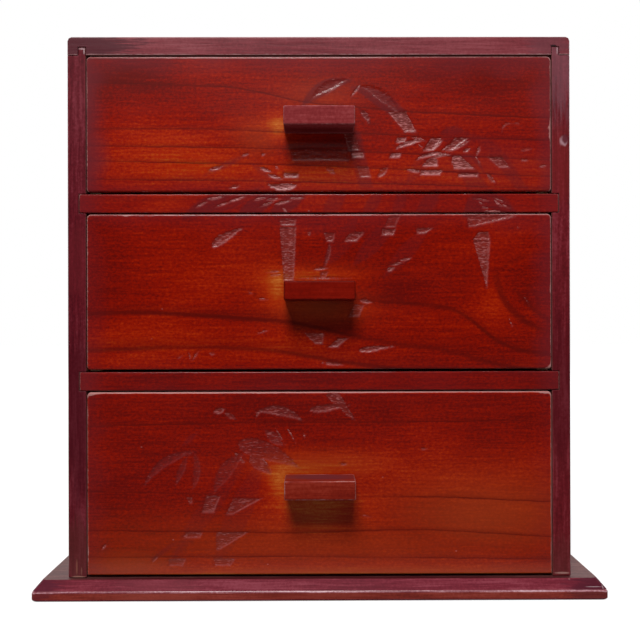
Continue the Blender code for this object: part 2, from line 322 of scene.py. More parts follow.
grainLook = {
    "apart": (0.37, 0.71, 0.53),     # metres from one seed's wood to the next
    "coarse": (26, 520, 520),
    "fine": (70, 1900, 1900),
    "fineShare": 0.7,
    "fibreRange": (0.25, 0.75),
    "cloud": (14, 34, 34),
    "cloudRange": (0.28, 0.72),
    "pores": (150, 2600, 2600),
    "poreRange": (0.66, 0.74),
}
wearLook = {
    "ragged": (420, 420, 420),
    "uneven": (0.25, 1.75),          # least and most of the reach
    "broad": (38, 38, 38),
    "runs": (0.9, 1.15),             # broad noise and share together, where a worn run starts and is full
}
speckLook = {"sizes": (0.4, 1.4), "core": 0.4}
tearLook = {
    "torn": (320, 900, 1800),
    "rip": (650, 900, 2100),
    "ripShare": 0.35,
    "ragged": 0.4,
    "edge": (-0.05, 0.22),           # mm inside the cut, where its floor starts and is full
    "limit": (-0.16, 0.64),          # of the light fibres, lower in a pale cut
    "soft": (-0.05, 0.16),           # about that limit
    "floor": (0.76, 0.06),           # how strong the floor is, by its paleness
    "light": (0.78, 0.20),
}


def makeWoodGrain():
    look = grainLook
    tree, source, sink = newGroup("woodGrain", {"Place": origin, "Seed": 0.0}, ("Fibre", "Cloud", "Pores"))
    place = vectorCalc(tree, "MULTIPLY_ADD", source["Seed"], look["apart"], source["Place"])
    fine = noise(tree, place, look["fine"], 2.0)
    fibre = swing(tree, fine, look["fineShare"], noise(tree, place, look["coarse"]))
    wire(tree, sink["Fibre"], ease(tree, fibre, *look["fibreRange"]))
    wire(tree, sink["Cloud"], ease(tree, noise(tree, place, look["cloud"]), *look["cloudRange"]))
    wire(tree, sink["Pores"], ease(tree, noise(tree, place, look["pores"], 1.0), *look["poreRange"]))
    return tree


def makeArrisWear():   # where the finish of a box has rubbed through along its arrises
    inputs = {"Place": origin, "Centre": origin, "Half": (1.0, 1.0, 1.0), "Reach": 0.001, "Share": 0.5}
    tree, source, sink = newGroup("arrisWear", inputs, ("Wear",))
    offset = vectorCalc(tree, "ABSOLUTE", vectorCalc(tree, "SUBTRACT", source["Place"], source["Centre"]))
    inset = vectorCalc(tree, "ABSOLUTE", vectorCalc(tree, "SUBTRACT", source["Half"], offset))
    x, y, z = split(tree, inset)
    lesser = calc(tree, "MINIMUM", x, y)
    greater = calc(tree, "MAXIMUM", x, y)
    toArris = calc(tree, "MAXIMUM", lesser, calc(tree, "MINIMUM", greater, z))   # the middle one of the three
    ragged = noise(tree, source["Place"], wearLook["ragged"], 4.0, 0.65)
    reach = times(tree, source["Reach"], ease(tree, ragged, 0.2, 0.8, *wearLook["uneven"]))
    near = ease(tree, toArris, reach, 0.0)
    broad = noise(tree, source["Place"], wearLook["broad"], 2.0)
    start, full = [calc(tree, "SUBTRACT", level, source["Share"]) for level in wearLook["runs"]]
    wire(tree, sink["Wear"], times(tree, near, ease(tree, broad, start, full)))
    return tree


def makeSpecks():   # small chips and specks, a share of the cells of a random net
    inputs = {"Place": origin, "Net": (90.0, 90.0, 90.0), "Share": 0.1, "Size": 0.12}
    tree, source, sink = newGroup("specks", inputs, ("Specks",))
    cells = tree.nodes.new("ShaderNodeTexVoronoi")
    cells.inputs["Scale"].default_value = 1.0
    wire(tree, cells.inputs["Vector"], vectorCalc(tree, "MULTIPLY", source["Place"], source["Net"]))
    draws = tree.nodes.new("ShaderNodeSeparateColor")
    wire(tree, draws.inputs[0], cells.outputs["Color"])
    chosen = calc(tree, "LESS_THAN", draws.outputs[0], source["Share"])
    size = times(tree, source["Size"], ease(tree, draws.outputs[1], 0.0, 1.0, *speckLook["sizes"]))
    spot = ease(tree, cells.outputs["Distance"], size, times(tree, size, speckLook["core"]))
    wire(tree, sink["Specks"], times(tree, chosen, spot))
    return tree


def makeToolMarks():   # the rough floor of a carved cut: torn fibres along the grain, whose Light is partly a painted highlight where the fibres catch the light
    look = tearLook
    inputs = {"Place": origin, "Inside": -5.0, "Pale": 0.0}
    tree, source, sink = newGroup("toolMarks", inputs, ("Floor", "Light", "Height"))
    pale = source["Pale"]
    torn = noise(tree, source["Place"], look["torn"], 2.0, 0.5)
    rip = noise(tree, source["Place"], look["rip"], 2.0)
    floor = ease(tree, swing(tree, torn, look["ragged"], source["Inside"]), *look["edge"])
    level = swing(tree, rip, look["ripShare"], torn)
    limit = addTimes(tree, pale, *look["limit"])
    light = ease(tree, level, *[calc(tree, "ADD", limit, step) for step in look["soft"]])
    wire(tree, sink["Floor"], times(tree, floor, addTimes(tree, pale, *look["floor"])))
    wire(tree, sink["Light"], times(tree, times(tree, light, floor), addTimes(tree, pale, *look["light"])))
    wire(tree, sink["Height"], times(tree, calc(tree, "ADD", torn, rip), times(tree, floor, pale)))
    return tree


woodGrain = makeWoodGrain()
arrisWear = makeArrisWear()
specks = makeSpecks()
toolMarks = makeToolMarks()

# finishes

caseFinish = {   # maroon stain under satin lacquer; each board's own values are added beside its piece
    "dark": (0.062, 0.004, 0.006),
    "body": (0.112, 0.007, 0.011),
    "light": (0.185, 0.024, 0.034),
    "worn": (0.30, 0.13, 0.13),
    "rough": 0.32,
    "gloss": 0.18,
    "reach": 0.0007,       # of the wear, in metres from the arris
    "share": 0.30,         # of the arrises that is worn
    "specks": 0.09,
    "speckNet": (150.0, 150.0, 150.0),
    "speckSize": 0.10,
    "fibre": 0.55,
    "cloud": 0.30,
    "mottle": 0.9,
    "mottleMiddle": 0.42,
    "mottleCells": (600, 600, 600),
    "stops": (0.15, 0.5, 0.85),
    "pores": 0.35,
    "poreDepth": -0.6,
    "speckWear": 0.6,
    "wornCover": 0.8,
    "wornDepth": -1.2,
    "wornRough": 0.25,
    "unevenRough": 0.10,
    "bump": (0.10, 0.0003),
}
scuffAndShadeLook = {
    "cells": (60, 900, 900),
    "spread": 0.3,
    "leastSpread": 0.8,
    "mostSpread": 2.4,
    "edge": (1.15, 0.55),   # shares of the half size
}
frontFinish = {
    "shades": [   # from the deepest red to the thin golden stain at the pull
        (0.05, (0.096, 0.0026, 0.0018)),
        (0.22, (0.138, 0.0034, 0.0014)),
        (0.45, (0.214, 0.0050, 0.0006)),
        (0.68, (0.300, 0.0140, 0.0010)),
        (0.85, (0.345, 0.040, 0.003)),
        (1.00, (0.430, 0.095, 0.012)),
        (1.15, (0.520, 0.180, 0.035)),
    ],
    "sprayColour": (0.112, 0.012, 0.017, 1),
    "amberColour": (0.250, 0.036, 0.0080, 1),
    # also the colour of the painted shade inside the cuts' upper edges
    "ringAndShadeColour": (0.075, 0.0030, 0.0020, 1),
    "shadowColour": (0.086, 0.009, 0.012, 1),
    "cutColour": (0.122, 0.020, 0.0165, 1),
    # pale torn fibres, partly painted highlight, and the painted highlight on the cuts' lower edges
    "tornAndHighlightColour": (0.390, 0.128, 0.125, 1),
    "wornColour": (0.34, 0.160, 0.150, 1),
    "cloud": 0.12,
    "fibre": 0.07,
    "mottle": 1.15,
    "calm": 0.4,           # what is left of the mottle in the light stain,
    "calmRange": (0.45, 0.80),   # between these shades
    "mottleCells": (480, 480, 800),
    "streak": 0.58,
    "streakCells": (45, 45, 750),
    "waver": 1.2,          # of the ring lines, mm
    "waverCells": (110, 110, 300),
    "lineCore": 0.10,      # share of a ring line's width that is fully dark
    "lateReach": 3.5,      # of the band above it, in widths of the line
    "lateShare": 0.5,
    "pores": 0.22,
    "ragged": 0.9,         # of the worn patches
    "raggedCells": (650, 650, 650),
    "wornEdge": (0.42, 0.62),
    "wornCover": 0.85,
    "wornRough": 0.2,
    "unevenRough": 0.08,
    "cutRough": 0.10,
    "cutHeight": 1.6,
    "fibreHeight": 0.08,
    "speckWear": 0.5,
    "specks": 0.02,
    "speckNet": (160.0, 160.0, 260.0),
    "speckSize": 0.09,
    "rough": 0.21,
    "gloss": 0.165,
    "bump": (0.30, 0.0003),
}
bareFinish = {
    "drawer": {"dark": (0.40, 0.25, 0.13), "body": (0.55, 0.38, 0.22), "light": (0.66, 0.49, 0.31)},
    "ply": {"dark": (0.43, 0.29, 0.16), "body": (0.60, 0.44, 0.27), "light": (0.70, 0.54, 0.36)},
    "stops": (0.1, 0.5, 0.9),
    "fibre": 0.75,
    "cloud": 0.25,
    "pores": 0.45,
    "poreDepth": -0.8,
    "stain": (0.12, 0.015, 0.018, 1),
    "stainCover": 0.93,
    "stainEdge": (0.010, -0.004),   # metres
    "creep": 0.016,        # how unevenly the stain has crept in, in metres
    "creepCells": (60, 60, 60),
    "rough": (0.12, 0.58),   # by the fibre, and at the least
    "bump": (0.30, 0.0003),
}
steelFinish = {
    "colour": (0.72, 0.70, 0.64),
    "dull": (0.45, 0.43, 0.38),
    "clouds": (700, 700, 700),
    "grit": (2600, 2600, 2600),
    "rough": (0.48, 0.30),   # where dull and where bright
    "bump": (0.10, 0.0001),
}


def woodRamp(tree, shade, stops, wood):
    return ramp(tree, shade, list(zip(stops, (wood["dark"], wood["body"], wood["light"]))))


def scuffAndShadeMask(tree, place, along, centre, half, share):   # a ragged oval patch, in mm
    offset = vectorCalc(tree, "SUBTRACT", place, tuple(v * mm for v in centre))
    away = vectorCalc(tree, "LENGTH", vectorCalc(tree, "DIVIDE", offset, tuple(v * mm for v in half)))
    ragged = noise(tree, along, scuffAndShadeLook["cells"], 4.0, 0.7)
    spread = max(scuffAndShadeLook["leastSpread"], scuffAndShadeLook["spread"] * min(half))
    edge = swing(tree, ragged, min(scuffAndShadeLook["mostSpread"], spread), away)
    return ease(tree, edge, *scuffAndShadeLook["edge"], 0.0, share)


def caseLacquer(name, low, high, axis, seed, scuffsAndShade=(), **own):
    values = {**caseFinish, **own}
    material, tree, shader = newMaterial(name)
    place = objectPlace(tree)
    along = grainPlace(tree, axis)
    grain = useGroup(tree, woodGrain, Place=along, Seed=seed)
    wear = useGroup(tree, arrisWear, Place=place, Centre=tuple((low + high) / 2),
                    Half=tuple((high - low) / 2), Reach=values["reach"], Share=values["share"])
    chips = useGroup(tree, specks, Place=place, Share=values["specks"], Net=values["speckNet"],
                     Size=values["speckSize"])
    shade = addTimes(tree, grain["Fibre"], values["fibre"], times(tree, grain["Cloud"], values["cloud"]))
    shade = calc(tree, "ADD", shade, (caseFinish["fibre"] - values["fibre"]) / 2)
    mottle = noise(tree, place, values["mottleCells"], 3.0, 0.7)
    shade = swing(tree, mottle, values["mottle"], shade, values["mottleMiddle"])
    colour = woodRamp(tree, shade, values["stops"], values)
    colour = tint(tree, times(tree, grain["Pores"], values["pores"]), colour, (*values["dark"], 1))
    # ragged oval patches: scuffs, and on some faces painted shade
    for *scuffAndShade, scuffAndShadeColour in scuffsAndShade:
        colour = tint(tree, scuffAndShadeMask(tree, place, along, *scuffAndShade), colour, (*scuffAndShadeColour, 1))
    rubbed = calc(tree, "MAXIMUM", wear["Wear"], times(tree, chips["Specks"], values["speckWear"]))
    colour = tint(tree, times(tree, rubbed, values["wornCover"]), colour, (*values["worn"], 1))
    wire(tree, shader["Base Color"], colour)
    uneven = values["unevenRough"]
    rough = addTimes(tree, grain["Cloud"], uneven, values["rough"] - uneven / 2)
    wire(tree, shader["Roughness"], addTimes(tree, rubbed, values["wornRough"], rough))
    height = addTimes(tree, grain["Pores"], values["poreDepth"], grain["Fibre"])
    height = addTimes(tree, rubbed, values["wornDepth"], height)
    wire(tree, shader["Normal"], bump(tree, height, *values["bump"]))
    shader["Specular IOR Level"].default_value = values["gloss"]
    return material


def stainShade(tree, place, grain):   # how light the stain is, with the wood's own clouds and streaks
    values = frontFinish
    base = fromAttribute(tree, "shade")
    shade = swing(tree, grain["Cloud"], values["cloud"], base)
    shade = swing(tree, grain["Fibre"], values["fibre"], shade)
    calm = ease(tree, base, *values["calmRange"], values["mottle"], values["mottle"] * values["calm"])
    shade = swing(tree, noise(tree, place, values["mottleCells"], 3.0, 0.75), calm, shade)
    return swing(tree, noise(tree, place, values["streakCells"], 3.0, 0.6), values["streak"], shade)


def ringLines(tree, place, ringWidth):   # dark lines of late wood, and a softer band above each
    space = fromAttribute(tree, "ringSpace")
    waver = calc(tree, "SUBTRACT", noise(tree, place, frontFinish["waverCells"]), 0.5)
    moved = calc(tree, "DIVIDE", times(tree, waver, frontFinish["waver"]), space)
    ring = calc(tree, "FRACT", calc(tree, "ADD", fromAttribute(tree, "ring"), moved))
    above = times(tree, calc(tree, "SUBTRACT", 1.0, ring), space)
    below = times(tree, ring, space)
    line = ease(tree, calc(tree, "MINIMUM", above, below), ringWidth, ringWidth * frontFinish["lineCore"])
    late = ease(tree, above, ringWidth * frontFinish["lateReach"], 0.0, 0.0, frontFinish["lateShare"])
    dark = times(tree, calc(tree, "MAXIMUM", late, line), fromAttribute(tree, "ringForce"))
    return calc(tree, "MAXIMUM", dark, fromAttribute(tree, "figure"))


def frontLacquer(name, seed, ringWidth):
    values = frontFinish
    material, tree, shader = newMaterial(name)
    place = objectPlace(tree)
    grain = useGroup(tree, woodGrain, Place=place, Seed=seed)
    cut = useGroup(tree, toolMarks, Place=place, Inside=fromAttribute(tree, "cutInside"),
                   Pale=fromAttribute(tree, "cutPale"))
    chips = useGroup(tree, specks, Place=place, Share=values["specks"], Net=values["speckNet"],
                     Size=values["speckSize"])
    # pale torn fibres, partly painted highlight, and the painted highlight on the cuts' lower edges
    torn = calc(tree, "MAXIMUM", cut["Light"], fromAttribute(tree, "cutGleam"))
    ragged = noise(tree, place, values["raggedCells"], 4.0, 0.7)
    worn = swing(tree, ragged, values["ragged"], fromAttribute(tree, "worn"))
    worn = ease(tree, worn, *values["wornEdge"])
    worn = calc(tree, "MAXIMUM", worn, times(tree, chips["Specks"], values["speckWear"]))
    colour = ramp(tree, stainShade(tree, place, grain), values["shades"])
    layers = (   # from the wood outwards
        (fromAttribute(tree, "amber"), "amberColour"),
        (ringLines(tree, place, ringWidth), "ringAndShadeColour"),
        (times(tree, grain["Pores"], values["pores"]), "ringAndShadeColour"),
        (fromAttribute(tree, "spray"), "sprayColour"),
        (fromAttribute(tree, "cutDark"), "shadowColour"),
        (cut["Floor"], "cutColour"),
        (torn, "tornAndHighlightColour"),
        # painted shade inside the cuts' upper edges
        (fromAttribute(tree, "cutShadow"), "ringAndShadeColour"),
        (times(tree, worn, values["wornCover"]), "wornColour"),
    )
    for amount, layer in layers:
        colour = tint(tree, amount, colour, values[layer])
    wire(tree, shader["Base Color"], colour)
    uneven = values["unevenRough"]
    rough = addTimes(tree, grain["Cloud"], uneven, values["rough"] - uneven / 2)
    rough = addTimes(tree, cut["Floor"], values["cutRough"], rough)
    wire(tree, shader["Roughness"], addTimes(tree, worn, values["wornRough"], rough))
    height = times(tree, grain["Fibre"], values["fibreHeight"])
    height = addTimes(tree, cut["Height"], values["cutHeight"], height)
    wire(tree, shader["Normal"], bump(tree, height, *values["bump"]))
    shader["Specular IOR Level"].default_value = values["gloss"]
    return material


def bareWood(name, kind, axis, seed, stainFrom=None):   # stainFrom: where the lacquer has crept in to, in y
    values = bareFinish
    wood = values[kind]
    material, tree, shader = newMaterial(name)
    place = objectPlace(tree)
    grain = useGroup(tree, woodGrain, Place=grainPlace(tree, axis), Seed=seed)
    shade = addTimes(tree, grain["Fibre"], values["fibre"], times(tree, grain["Cloud"], values["cloud"]))
    colour = woodRamp(tree, shade, values["stops"], wood)
    colour = tint(tree, times(tree, grain["Pores"], values["pores"]), colour, (*wood["dark"], 1))
    if stainFrom is not None:
        uneven = noise(tree, place, values["creepCells"], 4.0)
        creep = addTimes(tree, uneven, -values["creep"], split(tree, place)[1])
        stained = ease(tree, creep, *[stainFrom + step for step in values["stainEdge"]])
        colour = tint(tree, times(tree, stained, values["stainCover"]), colour, values["stain"])
    wire(tree, shader["Base Color"], colour)
    wire(tree, shader["Roughness"], addTimes(tree, grain["Fibre"], *values["rough"]))
    height = addTimes(tree, grain["Pores"], values["poreDepth"], grain["Fibre"])
    wire(tree, shader["Normal"], bump(tree, height, *values["bump"]))
    return material


def zincSteel():
    material, tree, shader = newMaterial("zincSteel")
    place = objectPlace(tree)
    cloudy = noise(tree, place, steelFinish["clouds"], 4.0)
    colour = ramp(tree, cloudy, [(0.3, steelFinish["dull"]), (0.7, steelFinish["colour"])])
    wire(tree, shader["Base Color"], colour)
    shader["Metallic"].default_value = 1.0
    wire(tree, shader["Roughness"], ease(tree, cloudy, 0.3, 0.7, *steelFinish["rough"]))
    grit = noise(tree, place, steelFinish["grit"], 2.0)
    wire(tree, shader["Normal"], bump(tree, grit, *steelFinish["bump"]))
    return material


steel = zincSteel()
print("finishes ready")

# carving on the fronts and the upper rail: bamboo leaves cut across the whole face, in mm
# a cut: from x, z to x, z (from the middle, above the floor), width, how pale its floor is, dark stain, bend
# a slip tapers to both ends, a leaf is widest near its foot, and a blade narrows from a square foot
# a slab runs downwards between level ends, and its bend is the share of the width that it loses on the way
# a figure is no cut but a line of the wood itself

leafCuts = {
    "arch over the top pull": {
        "slip": [
            (-11, 291, 21, 308, 8, 0, 0.6, 0.12), (-5, 296, 18, 308, 5, 0.18, 0, 0.1),
            (-4, 297.5, 2, 300.5, 0.9, 0.7), (0, 299.5, 7, 303, 0.9, 0.7), (-1, 301.5, 5, 305, 0.8, 0.6),
            (4, 299.5, 14, 305.5, 1, 0.9, 0, 0.05), (18, 304, 57, 275, 9, 0, 0.6, 0.11),
            (23, 305, 49, 286, 6, 0.15, 0, 0.11), (29, 303, 33, 299, 0.9, 0.7),
            (31, 300, 36, 296.5, 0.9, 0.7), (34, 301, 38, 298, 0.8, 0.6), (35, 297, 39, 294, 0.8, 0.6),
            (19, 298, 25, 305, 1.1, 0.9), (26, 304.5, 36, 297, 1.1, 0.8, 0, 0.1),
            (24, 290.5, 29.5, 282.5, 3, 0.5, 0.6, 0.1),
        ],
        "slab": [
            (46.5, 289, 54.5, 277, 11, 0.75, 0.2, 0.35),
        ],
    },
    "spray right of the top pull": {
        "slip": [
            (72, 273, 96, 273, 10, 0, 0.25), (92, 275, 112, 262, 6, 0, 0.25),
            (68, 267, 52, 246, 8, 0, 0.25), (45.5, 266.7, 62, 272, 2.2, 0.89, 0.3, 0.06),
            (86, 265, 90, 267, 2, 0.71, 0.1), (96, 269, 94, 263, 1.6, 0.59, 0.1),
            (58, 260.3, 78, 263.2, 2.4, 0.94, 0.4, 0.1), (52, 254.5, 62, 253, 1.6, 1, 0.1),
            (100, 252, 105, 246.5, 2.6, 0.65, 0.1), (109, 277, 115, 282, 1, 0.35, 0, 0.25),
            (115, 282, 121, 280, 1, 0.35, 0, 0.2), (120, 266, 127, 267, 1.4, 0.3),
            (120, 260, 125, 260, 0.9, 0.6), (131, 256, 136, 257, 0.9, 0.6),
            (54.5, 273.4, 64.4, 271.4, 1, 0.8, 0, 0.05), (58.4, 270.4, 62.1, 267, 1, 0.7),
            (74, 272.8, 66.6, 265.6, 1.2, 1, 0, 0.05), (67.3, 272.6, 62.6, 266.8, 1, 0.85, 0, 0.05),
            (81.5, 272.4, 72.8, 265.5, 1.3, 1, 0, 0.04), (89.7, 272, 76.3, 265.2, 1.1, 0.95, 0, 0.05),
            (60.6, 257.4, 78.5, 263.6, 1.2, 0.9, 0, 0.07), (79.9, 262.8, 79.4, 256.4, 1.1, 0.95),
            (88, 263.6, 98, 253.5, 2.2, 0, 0.55, 0.08), (92.6, 263.5, 96, 257, 1.1, 0.75, 0, 0.05),
            (72, 275.5, 88, 276.5, 5, 0, 0.4, 0.1),
        ],
        "slab": [
            (106, 264, 121, 243, 10, 0, 0.35, 0.3), (84, 263, 95, 243, 10, 0, 0.35, -0.2),
            (49.2, 273.6, 48.6, 270.7, 5.6, 1, 0.2, 0.1), (70, 273.2, 65, 265.7, 6.2, 0.83, 0.2),
            (85, 273.2, 77, 265.7, 8.2, 0.71, 0.2, 0.45), (68, 261, 66, 256.5, 5, 0.94, 0.2, -0.9),
            (82, 262.7, 86.5, 255, 4.5, 0.94, 0.2, -1.8), (105, 262, 110.5, 255.8, 9, 0.59, 0.2, 0.3),
            (67, 254, 66, 251.3, 13, 0.94, 0.1, 0.1), (89, 252.3, 88.7, 250.3, 11.6, 0.94, 0.1),
        ],
    },
    "under the top pull": {
        "slab": [
            (20, 277, 28, 244, 8.5, 0, 0.4, 0.1), (0, 267, 1, 260, 34, 0.12),
            (18, 276, 21, 266, 7, 0.35, 0.2), (22.7, 264.7, 23.2, 261.7, 7, 1, 0.2),
            (45.7, 264.2, 45, 261.7, 6, 0.94, 0.2), (26, 256.5, 27.5, 250, 7, 0.35, 0.2),
        ],
        "slip": [
            (35, 250, 41, 256, 3.5, 0.35, 0.2), (4, 256, 10, 252, 3, 0.2, 0.2),
        ],
    },
    "left of the top pull": {
        "slip": [
            (-66, 254, -57, 257, 1.8, 0.55, 0.3), (-34.6, 263, -31.8, 264.3, 1.1, 0.6),
            (-26.6, 257, -24, 255, 1.2, 0.5), (-40, 258, -30, 250, 3, 0, 0.3),
            (-69, 251, -42, 264, 3, 0, 0.35), (-46, 263, -42, 264, 1.2, 0.59),
            (-36, 256, -28, 253, 2, 0.83, 0.2), (-32, 252, -22, 249, 2, 0.71, 0.3),
            (-31, 246, -12, 246, 4.5, 1, 0.1, -0.1), (-54, 244, -47, 245, 2.4, 0.3, 0.2),
        ],
        "slab": [
            (-16.5, 252.6, -17, 249.8, 9, 0.71, 0.2),
        ],
    },
    "upper rail": {
        "slip": [
            (-82, 226, -52, 240, 9, 0, 0.6), (-66, 228, -34, 244, 7, 0, 0.38),
            (-67, 237, -57, 238.4, 1.3, 1), (-62, 232.5, -52, 236, 1.1, 0.98),
            (-74, 232, -67, 235.5, 1.1, 0.98), (-54, 235.5, -44, 238.6, 1.3, 1),
            (-50, 226, -24, 241, 10, 0, 0.62), (-30, 228, -8, 240, 9, 0, 0.6),
            (2, 226, 16, 243, 9, 0, 0.34), (26, 226, 38, 243, 7, 0, 0.4), (44, 226, 52, 243, 6, 0, 0.3),
            (58, 226, 72, 243, 9, 0, 0.36), (-39, 236.6, -31, 238.2, 1.1, 0.98),
            (-32, 236.6, -23, 237.4, 1.1, 0.98), (-36, 232.5, -27, 235.6, 1, 0.84),
            (-27, 233.8, -17, 236, 1.3, 0.98), (-20, 237.2, -8, 237.8, 1, 0.84),
            (-22, 232, -19, 229, 1.5, 0.7, 0.2), (86, 226, 104, 243, 12, 0, 0.5),
            (96, 240, 118, 228, 10, 0, 0.5), (92, 237.5, 101, 236, 0.9, 0.84),
            (94, 236, 99, 233, 0.9, 0.98), (103, 238, 111, 235, 1, 1), (104, 236.5, 109, 232.5, 1.2, 1),
            (96, 232.5, 102, 231, 0.8, 0.84), (108, 234, 114, 231.5, 0.8, 0.84),
            (97, 230, 111, 229, 1.3, 0.98, 0.2),
        ],
    },
    "middle drawer, upper half": {
        "leaf": [
            (-64, 208.5, -45.5, 219.5, 5.2, 0.58, 0.2, 0.05),
        ],
        "slab": [
            (-18.8, 225.5, -18.8, 221.2, 9.4, 0.43, 0.2),
            (-18.8, 220.6, -18.3, 188.5, 9.7, 0.55, 0.2, 0.4), (-6.5, 217.5, -6, 215.5, 3, 0.39, 0, 0.8),
            (6, 216.8, 6.3, 211.6, 6.5, 0.45, 0.3, 0.4), (3, 194, 2, 189.5, 4, 0.45, 0.2, 0.2),
            (23, 217.4, 18.5, 211.8, 8, 0.39, 0.3), (41.5, 219, 40.5, 215.5, 7.5, 0.58, 0.2),
            (45, 227, 42, 220, 6.5, 0.22, 0.2), (63, 219.8, 60.5, 216.3, 10, 0.47, 0.2, 0.5),
            (98, 217.3, 96.8, 212.4, 5.5, 0.62, 0.1, -0.85), (96.8, 212.6, 99.8, 184, 10.1, 0.62, 0.1, 1),
        ],
        "slip": [
            (6.3, 212, 2.6, 196, 2.2, 0.3, 0.6, 0.05), (-3.5, 195, 5.5, 196, 1.4, 0.9),
            (22, 226, 6, 198, 11, 0, 0.22), (46, 226, 20, 197, 10, 0, 0.26),
            (66, 221, 38, 190, 9, 0, 0.22), (89, 221.4, 117, 226.4, 1.2, 1), (47, 200, 55, 202, 1.6, 0.6),
            (41, 197, 50, 199.5, 1.4, 0.5), (40, 194, 45, 196.5, 2.4, 0.5, 0.1),
            (118, 220, 119, 220, 1.4, 0.5),
        ],
        "blade": [
            (88.5, 224, 117.5, 227.5, 8, 0.43, 0.2),
        ],
    },
    "figure at the right of the middle drawer": {
        "figure": [
            (104, 192, 141, 157, 3.4, 0, 0.6, -0.16), (106, 194, 111, 177, 2.2, 0, 0.5, -0.06),
            (116, 184, 141, 162, 2.4, 0, 0.55, -0.05), (121, 186, 131, 172, 1.6, 0, 0.35, 0.2),
            (104, 190, 141, 204, 2.2, 0, 0.25, 0.14),
        ],
    },
    "middle drawer, lower half": {
        "slip": [
            (24, 176.5, 31, 175.5, 2.4, 0.7), (1, 139.6, 14.5, 138.2, 2, 0.65),
            (-78, 146, -77, 141, 1, 0.6), (-76, 141, -72, 147, 1, 0.5), (-85, 142, -82, 144, 1, 0.3),
            (-66, 145, -62, 145, 2, 0.25), (-37, 157, -30.5, 159, 0.9, 0.8), (-43, 182, -40, 181, 1, 0.5),
            (-37, 178, -31, 177, 0.9, 0.6), (-32, 193.5, -22, 194, 0.9, 0.6),
            (-30, 191.5, -22, 192, 0.9, 0.6), (-14, 190, 19, 190, 1.2, 0.6), (113, 166, 115, 161, 1, 0.5),
            (120, 180, 125, 173, 0.9, 0.3, 0, 0.1),
        ],
        "slab": [
            (23.5, 174, 20.5, 167, 6, 0.4, 0.1), (-3.4, 157, -0.5, 150.8, 11.5, 0.51, 0.1, 0.6),
            (14, 154, 8, 148.7, 5.6, 0.62, 0.1),
        ],
        "leaf": [
            (23.4, 146.5, 44.5, 149.3, 3.4, 0.66, 0.1),
        ],
    },
    "bottom drawer, upper sprays": {
        "blade": [
            (6.5, 122, 21, 105, 7, 0.47, 0.1),
        ],
        "leaf": [
            (-6, 111.3, 19, 114.3, 4, 0.5, 0.1), (-49, 91, -11, 76, 11, 0.22, 0.25, 0.06),
            (-41.5, 84, -29, 73, 7.5, 0.34, 0.25),
        ],
        "slip": [
            (-63.5, 110, -56.5, 112, 3.5, 0.55, 0.1), (-57, 110, -50, 106, 3, 0.3, 0.15),
            (-38.5, 110, -10, 104.8, 5.5, 0.4, 0.3, 0.12), (-38, 107, -35, 111, 1.4, 0.5, 0, 0.1),
            (-33, 99.5, -22, 90, 6, 0.25, 0.3), (-27, 101, -20.5, 91, 1.2, 0.8),
            (-20, 101.5, -14.5, 92, 1.1, 0.9), (-10, 98, -9, 95, 1.1, 0.6),
            (-37, 83.5, -29, 74.5, 1.2, 0.8, 0, 0.1), (-51, 86, -45, 80, 2.2, 0.6, 0.1),
            (-63, 62, -45, 86, 8, 0.1, 0.3, 0.08), (-105, 66, -73, 87, 5, 0.1, 0.35, 0.13),
            (-104, 67, -76, 85, 1, 0.22, 0.4, 0.13), (-75, 87, -76, 64, 4, 0.1, 0.3, 0.1),
            (-79, 84, -86, 67, 3.5, 0.1, 0.3), (-73, 80, -72, 75, 1, 0.35), (-82, 90, -73, 98, 3, 0, 0.3),
        ],
    },
    "bottom drawer, long leaves": {
        "slip": [
            (-40, 90, -92, 17, 11, 0, 0.18), (-33, 84, -63, 17, 14, 0, 0.16),
            (-100, 21, -97, 24, 1.1, 0.5), (-130, 28.5, -127.5, 31.5, 1.1, 0.7),
            (-101, 22, -85, 33, 2.5, 0, 0.3), (-88, 23, -78, 37, 2.5, 0, 0.3), (60, 88, 64, 88, 0.9, 0.6),
            (12, 79, 16, 79, 1, 0.9), (25, 48.5, 31, 47.5, 1, 0.4),
        ],
        "slab": [
            (-63.5, 60.3, -67, 50.3, 8.4, 0.43, 0.2, 0.15), (-43, 58.7, -54, 49.2, 17, 0.43, 0.2, 0.75),
            (-78, 59.3, -77, 55.8, 3.5, 0.4, 0, 0.5), (-75, 38.6, -76.5, 35.2, 10, 0.36, 0.1),
            (-52.7, 38.3, -61, 28, 19, 0.43, 0.1, 0.92), (-85, 22.7, -86, 18.8, 10, 0.36, 0.1, 0.15),
            (-57, 22.7, -58, 18.6, 13, 0.36, 0.1, 0.3),
        ],
    },
}
cutShape = {   # mm
    "depth": 0.42,
    "lip": 0.8,
    "ragged": 0.40,
    "samples": 33,
    "outside": -3.0,         # what a point far from every cut reads
    "paleReach": -1.5,
    "darkEdge": (-1.2, 0.8),
    "figureEdge": (-1.6, 0.6),
    "lightFrom": (-0.55, 0.85),   # x, z
    "slope": (0.1, 0.8),     # of an edge, where its shadow or gleam starts and is full
    "shadow": (0.75, -0.2, 0.65),   # share, how far inside, reach
    "gleam": (0.80, 0.2, 0.50),
}
cloudSizes = {   # across and up (mm), seed
    "tear": (1.6, 0.6, 11),
    "fineTear": (0.7, 0.4, 12),
    "floor": (3.5, 1.4, 21),
    "wander": (26, 13, 22),
    "fineWander": (11, 7, 23),
    "dents": (7, 7, 24),
    "rings": (40, 12, 25),
    "spray": (16, 10, 26),
    "shade": (34, 17, 27),
    "wear": (9, 9, 28),
    "eyes": (12, 8, 29),
    "railWander": (22, 9, 32),
    "railShade": (30, 9, 33),
    "railRings": (90, 40, 34),
    "railWear": (8, 8, 35),
    "railSpray": (24, 9, 36),
}


